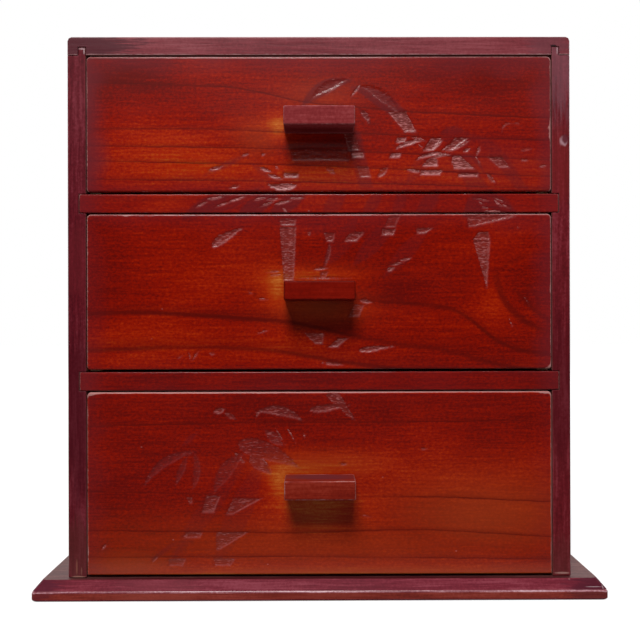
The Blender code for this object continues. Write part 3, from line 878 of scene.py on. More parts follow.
def cloud(u, v, seed):   # smooth value noise from -1 to 1
    size = 97
    lattice = np.random.RandomState(seed).uniform(-1, 1, (size, size))
    column = np.floor(u).astype(int)
    row = np.floor(v).astype(int)
    across = u - column
    up = v - row
    across = across * across * (3 - 2 * across)
    up = up * up * (3 - 2 * up)
    near = lattice[row % size, column % size] * (1 - across)
    near = near + lattice[row % size, (column + 1) % size] * across
    far = lattice[(row + 1) % size, column % size] * (1 - across)
    far = far + lattice[(row + 1) % size, (column + 1) % size] * across
    return near * (1 - up) + far * up


def clouds(name, x, z):
    across, up, seed = cloudSizes[name]
    return cloud(x / across, z / up, seed)


def smooth(value, low, high):
    share = np.clip((value - low) / (high - low), 0, 1)
    return share * share * (3 - 2 * share)


def nearEdge(distance, share, full, end):   # strongest at an edge, and gone further in
    return share * (1 - smooth(distance, full, end))


def spots(x, z, rows, power=2):   # soft ovals; each row: x, z, reach across, reach up, amount
    return [amount * np.exp(-((x - spotX) / across) ** power - ((z - spotZ) / up) ** power)
            for spotX, spotZ, across, up, amount in rows]


def widthAlong(form, t):
    if form == "leaf":
        return np.sin(math.pi * t ** 0.6)
    if form == "blade":
        return np.minimum(1, (1 - t) ** 0.8 * 1.15)
    return np.sin(math.pi * t)


def slabDepth(x, z, x0, z0, x1, z1, width, loss):
    t = np.clip((z0 - z) / (z0 - z1), 0, 1)
    half = width / 2 * (1 - loss * t)
    slope = (z0 - z1) / math.hypot(x1 - x0, z0 - z1)
    across = (half - np.abs(x - x0 - (x1 - x0) * t)) * slope
    return np.minimum(across, np.minimum(z0 - z, z - z1))


def strokeDepth(form, x, z, x0, z0, x1, z1, width, bend):
    t = np.linspace(0, 1, cutShape["samples"])
    arch = 4 * bend * t * (1 - t)
    spineX = x0 + (x1 - x0) * t - (z1 - z0) * arch
    spineZ = z0 + (z1 - z0) * t + (x1 - x0) * arch
    gap = (x[:, None] - spineX) ** 2 + (z[:, None] - spineZ) ** 2
    depth = width / 2 * widthAlong(form, t)[gap.argmin(1)] - np.sqrt(gap.min(1))
    if form == "blade":
        along = (x - x0) * (x1 - x0) + (z - z0) * (z1 - z0)
        depth = np.minimum(depth, along / math.hypot(x1 - x0, z1 - z0))
    return depth


def carve(x, z):   # how far inside the nearest cut, how pale, how dark a stain, and the wood's figure
    inside = np.full(x.shape, cutShape["outside"])
    pale = np.zeros(x.shape)
    dark = np.zeros(x.shape)
    figure = np.zeros(x.shape)
    tear = clouds("tear", x, z) + 0.6 * clouds("fineTear", x, z)
    every = [(form, cut) for cluster in leafCuts.values() for form, cuts in cluster.items() for cut in cuts]
    for form, cut in every:
        x0, z0, x1, z1, width, paleness, stain, bend = (*cut, 0, 0)[:8]
        margin = width / 2 * max(1, 1 - bend) + 3 + abs(bend) * math.hypot(x1 - x0, z1 - z0)
        near = (x > min(x0, x1) - margin) & (x < max(x0, x1) + margin)
        near &= (z > min(z0, z1) - margin) & (z < max(z0, z1) + margin)
        if not near.any():
            continue
        if form == "slab":
            depth = slabDepth(x[near], z[near], x0, z0, x1, z1, width, bend)
        else:
            depth = strokeDepth(form, x[near], z[near], x0, z0, x1, z1, width, bend)
        if form == "figure":
            figure[near] = np.maximum(figure[near], stain * smooth(depth, *cutShape["figureEdge"]))
            continue
        dark[near] = np.maximum(dark[near], stain * smooth(depth, *cutShape["darkEdge"]))
        if paleness == 0:
            continue
        loose = cutShape["ragged"] * (0.5 if form == "slab" else min(1, width / 3))
        ragged = depth + loose * tear[near]
        deeper = (ragged > inside[near]) & (ragged > cutShape["paleReach"])
        pale[near] = np.where(deeper, paleness, pale[near])
        inside[near] = np.maximum(inside[near], ragged)
    return inside, pale, dark, figure


def edgeLight(inside, pale, x, z):   # shadow inside a cut's upper left edge, gleam on the lower right
    fromX, fromZ = cutShape["lightFrom"]
    falls = -fromZ * np.gradient(inside, axis=0) / np.maximum(np.gradient(z, axis=0), 0.01)
    falls = falls - fromX * np.gradient(inside, axis=1) / np.maximum(np.gradient(x, axis=1), 0.01)
    ragged = np.clip(0.7 + 0.5 * cloud(z / 0.9, inside * 3, 14), 0, 1)
    share, middle, reach = cutShape["shadow"]
    shadow = share * smooth(falls, *cutShape["slope"]) * np.exp(-((inside - middle) / reach) ** 2)
    shadow = shadow * np.minimum(1, 1.4 * pale)
    share, middle, reach = cutShape["gleam"]
    gleam = share * smooth(-falls, *cutShape["slope"]) * np.exp(-((inside - middle) / reach) ** 2) * pale
    return shadow * ragged, gleam * ragged


def cutAttributes(x, z):   # what the lacquer has to know of the carving
    inside, pale, dark, figure = carve(x, z)
    shadow, gleam = edgeLight(inside, pale, x, z)
    return {"cutInside": inside, "cutPale": pale, "cutDark": dark, "figure": figure, "cutShadow": shadow,
            "cutGleam": gleam}


# the three drawer fronts

fronts = {
    "top": {
        "seed": 1.0,
        "ringWidth": 0.9,   # mm
        "ringForce": 0.9,
        "rings": [
            [(-138, 307), (-83, 305), (-52, 304), (-26, 299), (-12, 295), (21, 292), (55, 289), (138, 285)],
            [(-138, 279), (-71, 279), (-20, 277), (30, 276), (66, 274), (138, 272)],
            [(-138, 269), (-71, 268), (-11, 267), (33, 265), (72, 263), (138, 260)],
            [(-138, 260), (-41, 258), (0, 257), (45, 255), (138, 250)],
            [(-138, 249), (-41, 248), (0, 247), (48, 246), (138, 243)],
        ],
        "base": 0.37,
        "glows": [   # lighter stain, darker where the amount is negative, and under the pulls painted shade and light: x, z, reach across, reach up (mm), amount; so are the next lists
            (-84, 258, 44, 17, 0.32),
            (-85, 280, 44, 9, 0.08),
            # brighter below the pull's shadow: painted light where the shadow ends
            (-4, 251, 40, 11, 0.31),
            (44, 258, 20, 14, -0.06),
            (92, 254, 50, 16, 0.26),
            (-24, 280, 7, 8, 0.46),
            (-32, 279, 16, 7, 0.14),
            # painted shade under the pull
            (2, 270, 20, 6, -0.24),
            (2, 297, 26, 9, 0.26),
            (-116, 311, 36, 14, -0.30),
            (108, 308, 44, 18, -0.24),
            (56, 313, 30, 8, -0.08),
        ],
        "ambers": [(-36, 274, 15, 12, 0.30), (0, 300, 22, 9, 0.30)],   # browner stain
        "hazes": [(104, 259, 40, 18, 0.36), (0, 300, 26, 10, 0.22)],   # purple mist of the spray
        "fades": [],   # where the ring lines fade
        "eyes": [],   # heart of the figure
        "scuffsAndShade": [
            (136.5, 280, 2.6, 4, 0.42), (137.5, 274, 1.6, 2.5, 0.40), (136, 320, 3, 1.5, 0.3),
        ],
        "spray": (0.86, 0.65, 0.50, 0.27),   # purple at the left, right, top and bottom edge
        "wornTop": 0.30,
        "rimGlow": 0.0,
        "lowCorner": 1.5,   # mm
    },
    "middle": {
        "seed": 2.0,
        "ringWidth": 2.6,
        "ringForce": 0.9,
        "rings": [
            [(-138, 183), (-71, 181), (-11, 179), (29, 177), (72, 173), (84, 171), (98, 158), (112, 148),
             (138, 144)],
            [(-138, 169), (-107, 170), (-71, 168), (-17, 164), (6, 159), (22, 155), (48, 150), (76, 147),
             (106, 138), (138, 133)],
            [(-138, 147), (-89, 149), (-62, 149), (-26, 147), (6, 141), (36, 137), (138, 123)],
        ],
        "base": 0.34,
        "glows": [
            (-80, 192, 40, 22, 0.14),
            (-102, 152, 38, 16, 0.24),
            (-30, 148, 34, 10, 0.22),
            (-25, 183, 7, 9, 0.34),
            (-28, 186, 14, 14, 0.17),
            (-2, 191, 28, 5, 0.46),
            (0, 171, 27, 8, 0.30),
            # brighter below the pull's shadow: painted light where the shadow ends
            (2, 146, 26, 7, 0.12),
            # painted shade under the middle of the pull
            (4, 172, 9, 6, -0.24),
            (70, 162, 34, 10, 0.08),
            (104, 176, 12, 12, 0.22),
            (46, 184, 20, 12, -0.26),
            (120, 150, 30, 12, -0.08),
            (-132, 200, 18, 26, -0.14),
        ],
        "ambers": [(0, 172, 24, 9, 0.6), (-26, 186, 14, 14, 0.18), (-4, 193, 30, 6, 0.20)],
        "hazes": [],
        "fades": [(-60, 181, 80, 7, 1.0)],
        "eyes": [(150, 182, 45, 25, -0.08), (158, 182, 38, 18, -0.04)],
        "scuffsAndShade": [
            (137, 136.6, 2.4, 1.8, 0.55), (-115, 227, 3, 1.2, 0.4), (138, 183, 0.9, 2, 0.5),
            (3, 189.4, 19, 0.9, 0.50),
        ],
        "spray": (0.26, 0.55, 0.32, 0.05),
        "wornTop": 0.30,
        "rimGlow": 0.10,
        "lowCorner": 1.8,
    },
    "bottom": {
        "seed": 3.0,
        "ringWidth": 0.8,
        "ringForce": 0.75,
        "rings": [
            [(-138, 102), (-41, 104), (48, 104), (138, 105)],
            [(-138, 63), (-11, 60), (78, 59), (138, 56)],
            [(-138, 40), (-17, 38), (60, 40), (95, 38), (138, 35)],
            [(-138, 24), (-17, 24), (138, 22)],
        ],
        "base": 0.32,
        "glows": [
            (0, 79, 34, 8, 0.42),
            (-25, 68, 7, 9, 0.34),
            (-24, 72, 20, 18, 0.24),
            (0, 55, 26, 9, 0.42),
            # painted light in the lower part of the pull's shadow
            (0, 43, 26, 7, 0.22),
            (60, 66, 60, 22, 0.20),
            (120, 56, 34, 26, 0.18),
            (-10, 36, 80, 16, 0.12),
            (20, 12, 150, 7, 0.40),
            (-126, 58, 24, 20, -0.10),
            (20, 112, 130, 10, -0.10),
            (-12, 108, 24, 12, -0.06),
        ],
        "ambers": [
            (100, 48, 60, 24, 0.55),
            (0, 30, 150, 18, 0.40),
            (0, 79, 36, 8, 0.35),
            (30, 11, 170, 8, 0.80),
            (-112, 18, 40, 12, 0.60),
        ],
        "hazes": [],
        "fades": [(-10, 61, 60, 6, 0.8)],
        "eyes": [],
        "scuffsAndShade": [(-136, 121, 4, 1.8, 0.6), (136, 121, 5, 1.6, 0.5), (-80, 121.6, 60, 1.2, 0.16)],
        "spray": (0.28, 0.15, 0.05, 0.00),
        "wornTop": 0.38,
        "rimGlow": 0.40,
        "lowCorner": 0.6,
    },
}
frontShape = {   # mm
    "step": 0.60,
    "round": 1.2,
    "roundSteps": 4,
    "corner": 2.6,
    "lip": 5.0,        # the face stands this far before the plain board behind it,
    "wider": 0.45,     # and that much past its ends
    "taller": 0.4,
    "spray": (-2.0, 16.0),   # how far from the edge it is full and ends
    "rimGlow": (0.4, 1.6),
    "topWear": (0.3, 1.8),
    "edgeWear": {   # share, and how far from that edge it is full and ends
        "inset": (0.34, 0.2, 1.1),
        "toRight": (0.36, 0.5, 1.7),
        "toLeft": (0.30, 0.7, 2.4),
    },
    "rimWander": (0.12, 0.5, 3.0),
    "set": 0.05,       # the face lies this far behind the solid's, to stay inside it where uneven
    "wander": 0.03,
    "floorWander": 0.05,
    "dents": (0.25, 0.2, 1.6),   # depth, and how far from the edge they are full and end
    "ringReach": 14.0,   # space of the rings past the first and the last line
    "gap": 0.05,       # between the carved slab and the board behind it,
    "letIn": 0.6,      # which is let into the slab by this much
    "stain": -2.0,     # behind the face; from here the stain creeps on unevenly
    "smooth": 45,      # degrees
}


def gridLines(low, high, radius):   # close together on the rounded rim, even between
    turn = np.linspace(math.pi / 2, 0, frontShape["roundSteps"] + 1)[:-1]
    rim = radius * (1 - np.sin(turn))
    count = round((high - low - 2 * radius) / frontShape["step"])
    return np.concatenate([low + rim, np.linspace(low + radius, high - radius, count + 1), high - rim[::-1]])


def makeSheet(low, high, radius, topCorner, lowCorner):   # a face in mm with a rounded rim and corners
    left, front, foot = (v / mm for v in low)
    right, _, top = (v / mm for v in high)
    x, z = np.meshgrid(gridLines(left, right, radius), gridLines(foot, top, radius))
    inset = np.minimum(np.minimum(x - left, right - x), np.minimum(z - foot, top - z))
    over = np.clip(radius - inset, 0, radius)
    y = front + radius - np.sqrt(radius ** 2 - over ** 2)
    corner = np.where(z > (foot + top) / 2, topCorner, lowCorner)
    coreX = np.clip(x, left + corner, right - corner)
    coreZ = np.clip(z, foot + corner, top - corner)
    overX = x - coreX
    overZ = z - coreZ
    share = np.maximum(np.abs(overX), np.abs(overZ)) / np.maximum(np.hypot(overX, overZ), 1e-9)
    x = coreX + overX * share
    z = coreZ + overZ * share
    return SimpleNamespace(x=x, y=y, z=z, inset=inset, front=front, toLeft=x - left, toRight=right - x,
                           toTop=top - z, toFoot=z - foot)


def slabMesh(name, sheet, back, attributes):   # closes a carved sheet with straight edges and a plain back
    rows, columns = sheet.x.shape
    index = np.arange(rows * columns).reshape(rows, columns)
    quads = np.stack([index[:-1, :-1], index[:-1, 1:], index[1:, 1:], index[1:, :-1]], -1).reshape(-1, 4)
    rim = np.concatenate([index[0, :-1], index[:-1, -1], index[-1, :0:-1], index[:0:-1, 0]])
    points = np.stack([sheet.x, sheet.y, sheet.z], -1).reshape(-1, 3)
    backPoints = points[rim].copy()
    backPoints[:, 1] = back
    backIndex = len(points) + np.arange(len(rim))
    sides = np.stack([rim, backIndex, np.roll(backIndex, -1), np.roll(rim, -1)], -1)
    faces = quads.tolist() + sides.tolist() + [backIndex[::-1].tolist()]
    mesh = bpy.data.meshes.new(name)
    mesh.from_pydata((np.concatenate([points, backPoints]) * mm).tolist(), [], faces)
    for label, values in attributes.items():
        behind = values.ravel()[rim] * (0.0 if label == "worn" else 1.0)   # the wear is only on the arris
        flat = np.concatenate([values.ravel(), behind]).astype(np.float32)
        mesh.attributes.new(label, "FLOAT", "POINT").data.foreach_set("value", flat)
    return mesh


def addPiece(name, mesh, body, replaced):
    piece = bpy.data.objects.new(name, mesh)
    scene.collection.objects.link(piece)
    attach(piece, body)
    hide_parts(*replaced)
    return piece


def weldedCopy(node):
    shape = bmesh.new()
    shape.from_mesh(nodes[node].data)
    bmesh.ops.remove_doubles(shape, verts=shape.verts, dist=1e-6)
    bmesh.ops.dissolve_limit(shape, angle_limit=math.radians(0.5), verts=shape.verts, edges=shape.edges)
    return shape


def partBehind(node, plane, reach):   # the part of a CAD node behind a plane, drawn forward by reach
    shape = weldedCopy(node)
    everything = shape.verts[:] + shape.edges[:] + shape.faces[:]
    bmesh.ops.bisect_plane(shape, geom=everything, plane_co=(0, plane, 0), plane_no=(0, 1, 0),
                           clear_inner=True)
    bmesh.ops.holes_fill(shape, edges=[e for e in shape.edges if e.is_boundary])
    for vertex in shape.verts:
        if abs(vertex.co.y - plane) < 1e-6:
            vertex.co.y -= reach
    bmesh.ops.recalc_face_normals(shape, faces=shape.faces)
    return shape


def joinBehind(mesh, shape, materialIndex):
    for face in shape.faces:
        face.material_index = materialIndex
    behind = bpy.data.meshes.new("behind")
    shape.to_mesh(behind)
    shape.free()
    whole = bmesh.new()
    whole.from_mesh(mesh)
    whole.from_mesh(behind)
    whole.to_mesh(mesh)
    whole.free()
    bpy.data.meshes.remove(behind)


def smoothShading(mesh, angle):
    mesh.shade_smooth()
    mesh.set_sharp_from_angle(angle=math.radians(angle))


def addCarvedPiece(name, node, body, sheet, thick, attributes, seed, ringWidth, stainFrom):
    back = sheet.front + thick
    mesh = slabMesh(name, sheet, back, attributes)
    joinBehind(mesh, partBehind(node, (back + frontShape["gap"]) * mm, frontShape["letIn"] * mm), 1)
    smoothShading(mesh, frontShape["smooth"])
    mesh.materials.append(frontLacquer(f"{name}Lacquer", seed, ringWidth))
    mesh.materials.append(bareWood(f"{name}Inside", "drawer", "x", seed + 10, stainFrom))
    addPiece(name, mesh, body, [node])


def ringAttributes(x, z, values):   # whole numbers on the ring lines, counted downwards from 4
    sway = np.linspace(-9, 9, 7)   # mm, to round the lines' bends
    lines = [np.mean([np.interp(x + s, *zip(*line)) for s in sway], 0) for line in values["rings"]]
    space = np.full(x.shape, frontShape["ringReach"])
    phase = (lines[0] - z) / space
    for number, (upper, lower) in enumerate(zip(lines, lines[1:])):
        between = (z <= upper) & (z > lower)
        gap = np.maximum(upper - lower, 2.0)
        phase = np.where(between, number + (upper - z) / gap, phase)
        space = np.where(between, gap, space)
    last = len(lines) - 1
    phase = np.where(z <= lines[-1], last + (lines[-1] - z) / frontShape["ringReach"], phase)
    force = smooth(phase, -0.6, 0.0) * (1 - smooth(phase, last + 0.2, last + 0.6))
    force = values["ringForce"] * force * (0.76 + 0.24 * clouds("rings", x, z))
    for fade in spots(x, z, values["fades"], 4):
        force = force * (1 - fade)
    return {"ring": phase + 4, "ringSpace": space, "ringForce": force}


def stainAttributes(sheet, values):   # the stain's lightness, its browner parts and the purple spray
    x, z, inset = sheet.x, sheet.z, sheet.inset
    shade = values["base"] + sum(spots(x, z, values["glows"]))
    for eyeX, eyeZ, across, up, lift in values["eyes"]:
        within = 1 - np.hypot((x - eyeX) / across, (z - eyeZ) / up)
        shade = shade + lift * smooth(within + 0.06 * clouds("eyes", x, z), 0.0, 0.10)
    shade = shade + 0.05 * clouds("shade", x, z)
    shade = shade + nearEdge(inset, values["rimGlow"], *frontShape["rimGlow"])
    amber = np.maximum.reduce([0 * x, *spots(x, z, values["ambers"])])
    drift = 4 * clouds("spray", x, z)
    toSides = (sheet.toLeft, sheet.toRight, sheet.toTop, sheet.toFoot)
    mists = [nearEdge(toSide + drift, amount, *frontShape["spray"])
             for toSide, amount in zip(toSides, values["spray"])]
    spray = np.maximum.reduce([*mists, *spots(x, z, values["hazes"])])
    return {"shade": shade, "amber": amber, "spray": spray}


def frontWear(sheet, values):   # rubbed arrises, most at the top and the sides, and the scuffs
    worn = nearEdge(sheet.toTop, values["wornTop"], *frontShape["topWear"])
    for edge, reach in frontShape["edgeWear"].items():
        worn = worn + nearEdge(getattr(sheet, edge), *reach)
    worn = worn + clouds("wear", sheet.x, sheet.z) * nearEdge(sheet.inset, *frontShape["rimWander"])
    return worn + sum(spots(sheet.x, sheet.z, values["scuffsAndShade"]))


def makeFront(level):
    values = fronts[level]
    node = f"{level}_drawer_front"
    low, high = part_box(node)
    low = low - Vector((frontShape["wider"] * mm, 0, 0))
    high = high + Vector((frontShape["wider"] * mm, 0, frontShape["taller"] * mm))
    sheet = makeSheet(low, high, frontShape["round"], frontShape["corner"], values["lowCorner"])
    x, z, inset = sheet.x, sheet.z, sheet.inset
    attributes = cutAttributes(x, z)
    inside = attributes["cutInside"]
    floor = cutShape["depth"] * smooth(inside, 0.0, cutShape["lip"])
    floor = floor * (0.6 + 0.4 * smooth(attributes["cutPale"], 0.1, 0.7))
    floor = floor + frontShape["floorWander"] * smooth(inside, 0.2, 0.8) * clouds("floor", x, z)
    wander = frontShape["wander"] * (clouds("wander", x, z) + 0.5 * clouds("fineWander", x, z))
    dents = smooth(clouds("dents", x, z), 0.45, 0.95) * nearEdge(inset, *frontShape["dents"])
    sheet.y = sheet.y + (floor + frontShape["set"] + wander + dents) * smooth(inset, 0.0, 2.0)
    attributes.update(ringAttributes(x, z, values))
    attributes.update(stainAttributes(sheet, values))
    attributes["worn"] = frontWear(sheet, values)
    addCarvedPiece(f"{level}Front", node, f"{level}_drawer", sheet, frontShape["lip"],
                   attributes, values["seed"], values["ringWidth"], low.y + frontShape["stain"] * mm)


for level in levels:
    makeFront(level)
    print(level, "drawer front carved")

# the two rails: the upper one takes the ends of the leaves

rails = {
    "upper": {
        "seed": 4.0,
        "shade": 0.36,
        "spray": 0.20,
        "glows": [(-88, 235, 26, 20, 0.20), (-41, 235, 14, 20, 0.08), (30, 235, 60, 20, 0.12)],
    },
    "lower": {
        "seed": 5.0,
        "shade": 0.18,
        "spray": 0.18,
        "glows": [
            (-60, 128, 50, 20, 0.10), (-12, 128, 14, 20, -0.08), (60, 128, 50, 20, 0.15),
            (-130, 128, 30, 20, 0.12),
        ],
    },
}
railShape = {   # mm
    "round": 0.6,
    "slab": 3.0,
    "set": 0.03,
    "wander": 0.02,
    "ringSpace": 6.3,
    "ringWidth": 0.5,
    "ringForce": 0.30,
    "ringTilt": 170,   # along the rail from one ring to the next
    "ringWander": 0.25,
    "shadeWander": 0.06,
    "endSpray": (0.40, 1.0, 18.0),   # share, and how far from the end it is full and ends
    "rimWear": (0.40, 0.1, 0.9),
    "endWear": (0.20, 0.2, 0.9),
    "rimWander": (0.10, 0.3, 1.8),
    "stain": 8.0,
}


def makeRail(level):
    values = rails[level]
    node = f"{level}_rail"
    low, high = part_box(node)
    radius = railShape["round"]
    sheet = makeSheet(low, high, radius, radius, radius)
    x, z, inset = sheet.x, sheet.z, sheet.inset
    attributes = cutAttributes(x, z)
    floor = cutShape["depth"] * smooth(attributes["cutInside"], 0.0, cutShape["lip"])
    wander = railShape["wander"] * clouds("railWander", x, z)
    sheet.y = sheet.y + (floor + railShape["set"] + wander) * smooth(inset, 0.0, 1.2)
    shade = values["shade"] + sum(spots(x, z, values["glows"]))
    shade = shade + railShape["shadeWander"] * clouds("railShade", x, z)
    ring = sheet.toTop / railShape["ringSpace"] + railShape["ringWander"] * clouds("railRings", x, z)
    ring = ring + x / railShape["ringTilt"]
    fromEnd = np.minimum(sheet.toLeft, sheet.toRight)
    spray = values["spray"] * (0.8 + 0.4 * clouds("railSpray", x, z))
    spray = spray + nearEdge(fromEnd, *railShape["endSpray"])
    worn = nearEdge(inset, *railShape["rimWear"]) + nearEdge(fromEnd, *railShape["endWear"])
    worn = worn + clouds("railWear", x, z) * nearEdge(inset, *railShape["rimWander"])
    attributes.update({"ring": ring, "shade": shade, "spray": spray, "worn": worn, "amber": 0 * x})
    for label in ("ringSpace", "ringForce"):
        attributes[label] = np.full(x.shape, railShape[label])
    addCarvedPiece(f"{level}Rail", node, "case", sheet, railShape["slab"], attributes,
                   values["seed"], railShape["ringWidth"], low.y + railShape["stain"] * mm)


for level in rails:
    makeRail(level)
print("rails made")

# the case boards

boards = {   # scuffs and painted shade: centre, half sizes (mm), share, colour; inwards: where the bare inside looks
    "base_board": {
        "name": "baseBoard", "axis": "x", "seed": 6.0, "ease": 0.00042,
        # the bevel: maroon stain, made purple by a painted reflection of the bright sky
        "finish": {
            "dark": (0.097, 0.009, 0.017), "body": (0.139, 0.015, 0.026), "light": (0.194, 0.034, 0.050),
            "share": 0.45, "specks": 0.16, "rough": 0.50, "gloss": 0.03,
            "scuffsAndShade": [
                ((-168, -110, 8), (16, 12, 9), 0.7, (0.062, 0.008, 0.018)),
                ((168, -110, 8), (22, 12, 9), 0.8, (0.052, 0.007, 0.015)),
                ((-95, -110, 8), (26, 12, 9), 0.4, (0.155, 0.026, 0.036)),
                ((161, -111.5, 7.4), (5.0, 3, 0.25), 0.55, (0.36, 0.26, 0.28)),
                ((166.4, -112, 7.2), (0.5, 3, 1.0), 0.55, (0.36, 0.26, 0.28)),
            ],
        },
        "edge": {   # the upright edge
            "dark": (0.128, 0.016, 0.012), "body": (0.190, 0.026, 0.018), "light": (0.245, 0.042, 0.031),
            "share": 0.40, "rough": 0.50, "gloss": 0.03,
            "scuffsAndShade": [
                ((-168, -113, 3), (14, 8, 8), 0.6, (0.085, 0.012, 0.020)),
                ((168, -113, 3), (26, 8, 8), 0.6, (0.070, 0.014, 0.018)),
                ((-95, -113, 3), (32, 8, 8), 0.5, (0.245, 0.046, 0.032)),
                ((0, -113, 3), (40, 8, 8), 0.4, (0.140, 0.016, 0.011)),
            ],
        },
        "arris": {   # between the edge and the bevel; pale from wear and from a painted highlight along the rounded arris
            "dark": (0.13, 0.018, 0.028), "body": (0.25, 0.080, 0.096), "light": (0.47, 0.27, 0.30),
            "share": 0.70, "rough": 0.32, "gloss": 0.25,
        },
        "flat": {   # the top, round the case; its grey-brown is a painted reflection of the white sky on this grazing face
            "dark": (0.060, 0.016, 0.016), "body": (0.085, 0.026, 0.025), "light": (0.125, 0.048, 0.043),
            "share": 0.40, "rough": 0.42, "gloss": 0.13,
            # painted shadow of the bottom drawer on the strip of the top in front of the case
            "scuffsAndShade": [((0, -108.5, 11.5), (175, 4.5, 4), 0.92, (0.046, 0.0035, 0.006))],
        },
    },
    "top_board": {
        "name": "topBoard", "axis": "x", "seed": 7.0, "ease": 0.0004, "inwards": (0, 0, -1),
        "finish": {
            "dark": (0.106, 0.012, 0.017), "body": (0.150, 0.020, 0.027), "light": (0.196, 0.037, 0.046),
            "worn": (0.36, 0.20, 0.20), "share": 0.70, "fibre": 0.45,
            "scuffsAndShade": [
                ((-140, -106, 328), (36, 8, 12), 0.85, (0.046, 0.004, 0.009)),
                ((138, -106, 329), (14, 8, 9), 0.5, (0.10, 0.030, 0.040)),
                ((140.1, -106, 328.3), (2.0, 2, 0.8), 0.95, (0.010, 0.002, 0.003)),
            ],
        },
    },
    "left_side": {
        "name": "leftSide", "axis": "z", "seed": 8.0, "ease": 0.0004, "inwards": (1, 0, 0),
        "finish": {
            "dark": (0.052, 0.003, 0.006), "body": (0.094, 0.006, 0.011), "light": (0.150, 0.020, 0.030),
            "fibre": 0.40, "gloss": 0.12,
            "scuffsAndShade": [
                ((-144.5, -106, 200), (9, 6, 26), 0.40, (0.130, 0.012, 0.016)),
                ((-144.5, -106, 108), (9, 6, 60), 0.60, (0.045, 0.0025, 0.006)),
                ((-144.5, -106, 28), (9, 5, 22), 0.60, (0.076, 0.014, 0.013)),
                ((-144.8, -106, 18), (0.5, 2, 5.0), 0.50, (0.24, 0.085, 0.055)),
                ((-142.0, -106, 15.5), (0.5, 2, 2.6), 0.45, (0.22, 0.090, 0.065)),
                ((-143.5, -106, 12.3), (4.6, 2, 0.7), 0.70, (0.30, 0.14, 0.110)),
                ((-141.0, -106, 326.6), (2.1, 2, 0.6), 0.60, (0.40, 0.28, 0.29)),
                ((-139.8, -106, 325.2), (0.5, 2, 2.0), 0.70, (0.40, 0.28, 0.29)),
            ],
        },
    },
    "right_side": {
        "name": "rightSide", "axis": "z", "seed": 9.0, "ease": 0.0004, "inwards": (-1, 0, 0),
        "finish": {
            "fibre": 0.35, "gloss": 0.12,
            "scuffsAndShade": [
                ((144.5, -106, 330), (12, 6, 50), 0.40, (0.175, 0.078, 0.098)),
                ((149.7, -106, 230), (0.5, 2, 110), 0.45, (0.30, 0.15, 0.16)),
                ((144.5, -106, 258), (9, 6, 26), 0.40, (0.170, 0.014, 0.013)),
                ((146.2, -106, 271.6), (2.7, 2, 3.3), 0.80, (0.38, 0.22, 0.25)),
                ((147.0, -106, 272.7), (2.6, 2, 3.2), 0.95, (0.085, 0.009, 0.015)),
                ((144.5, -106, 120), (9, 6, 50), 0.55, (0.055, 0.003, 0.006)),
                ((144.5, -106, 22), (9, 6, 16), 0.50, (0.070, 0.010, 0.009)),
                ((144.5, -106, 13.6), (4.8, 2, 0.7), 0.75, (0.32, 0.16, 0.140)),
                ((142.2, -106, 325.6), (0.4, 2, 2.6), 0.60, (0.38, 0.26, 0.28)),
            ],
        },
    },
}
boardShape = {
    "segments": 2,
    "square": 30,      # degrees
    "smooth": 40,
    "stain": 0.012,    # metres
    "upright": 0.1,    # how far a face of the edge, of its arris and of the flat top looks up
    "arris": 0.6,
    "flat": 0.9,
}


def baseFace(slope):   # bevel, upright edge, its upper arris or the flat top, by how far a face looks up; their own colours are partly painted reflection and highlight
    if abs(slope) < boardShape["upright"]:
        return 1
    if boardShape["upright"] < slope < boardShape["arris"]:
        return 2
    return 3 if slope > boardShape["flat"] else 0


def makeBoard(node):
    values = boards[node]
    name, axis, seed = values["name"], values["axis"], values["seed"]
    low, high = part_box(node)
    shape = weldedCopy(node)
    sharp = math.radians(boardShape["square"])
    square = [e for e in shape.edges if len(e.link_faces) == 2 and e.calc_face_angle(0) > sharp]
    bmesh.ops.bevel(shape, geom=square, offset=values["ease"], segments=boardShape["segments"], profile=0.5,
                    affect="EDGES", clamp_overlap=True)
    bmesh.ops.recalc_face_normals(shape, faces=shape.faces)
    for face in shape.faces:
        if "inwards" in values:
            inner = face.normal.dot(Vector(values["inwards"])) > boardShape["flat"]
            face.material_index = 1 if inner else 0
        else:
            face.material_index = baseFace(face.normal.z)
    mesh = bpy.data.meshes.new(name)
    shape.to_mesh(mesh)
    shape.free()
    smoothShading(mesh, boardShape["smooth"])
    mesh.materials.append(caseLacquer(f"{name}Lacquer", low, high, axis, seed, **values["finish"]))
    for part in ("edge", "arris", "flat"):
        if part in values:
            lacquer = caseLacquer(name + part.capitalize(), low, high, axis, seed + 0.5, **values[part])
            mesh.materials.append(lacquer)
    if "inwards" in values:
        inside = bareWood(f"{name}Inside", "drawer", axis, seed + 10, low.y + boardShape["stain"])
        mesh.materials.append(inside)
    piece = addPiece(name, mesh, "case", [node])
    piece.modifiers.new("flatFaces", "WEIGHTED_NORMAL").keep_sharp = True


for node in boards:
    makeBoard(node)
print("case boards made")

# the three bar pulls

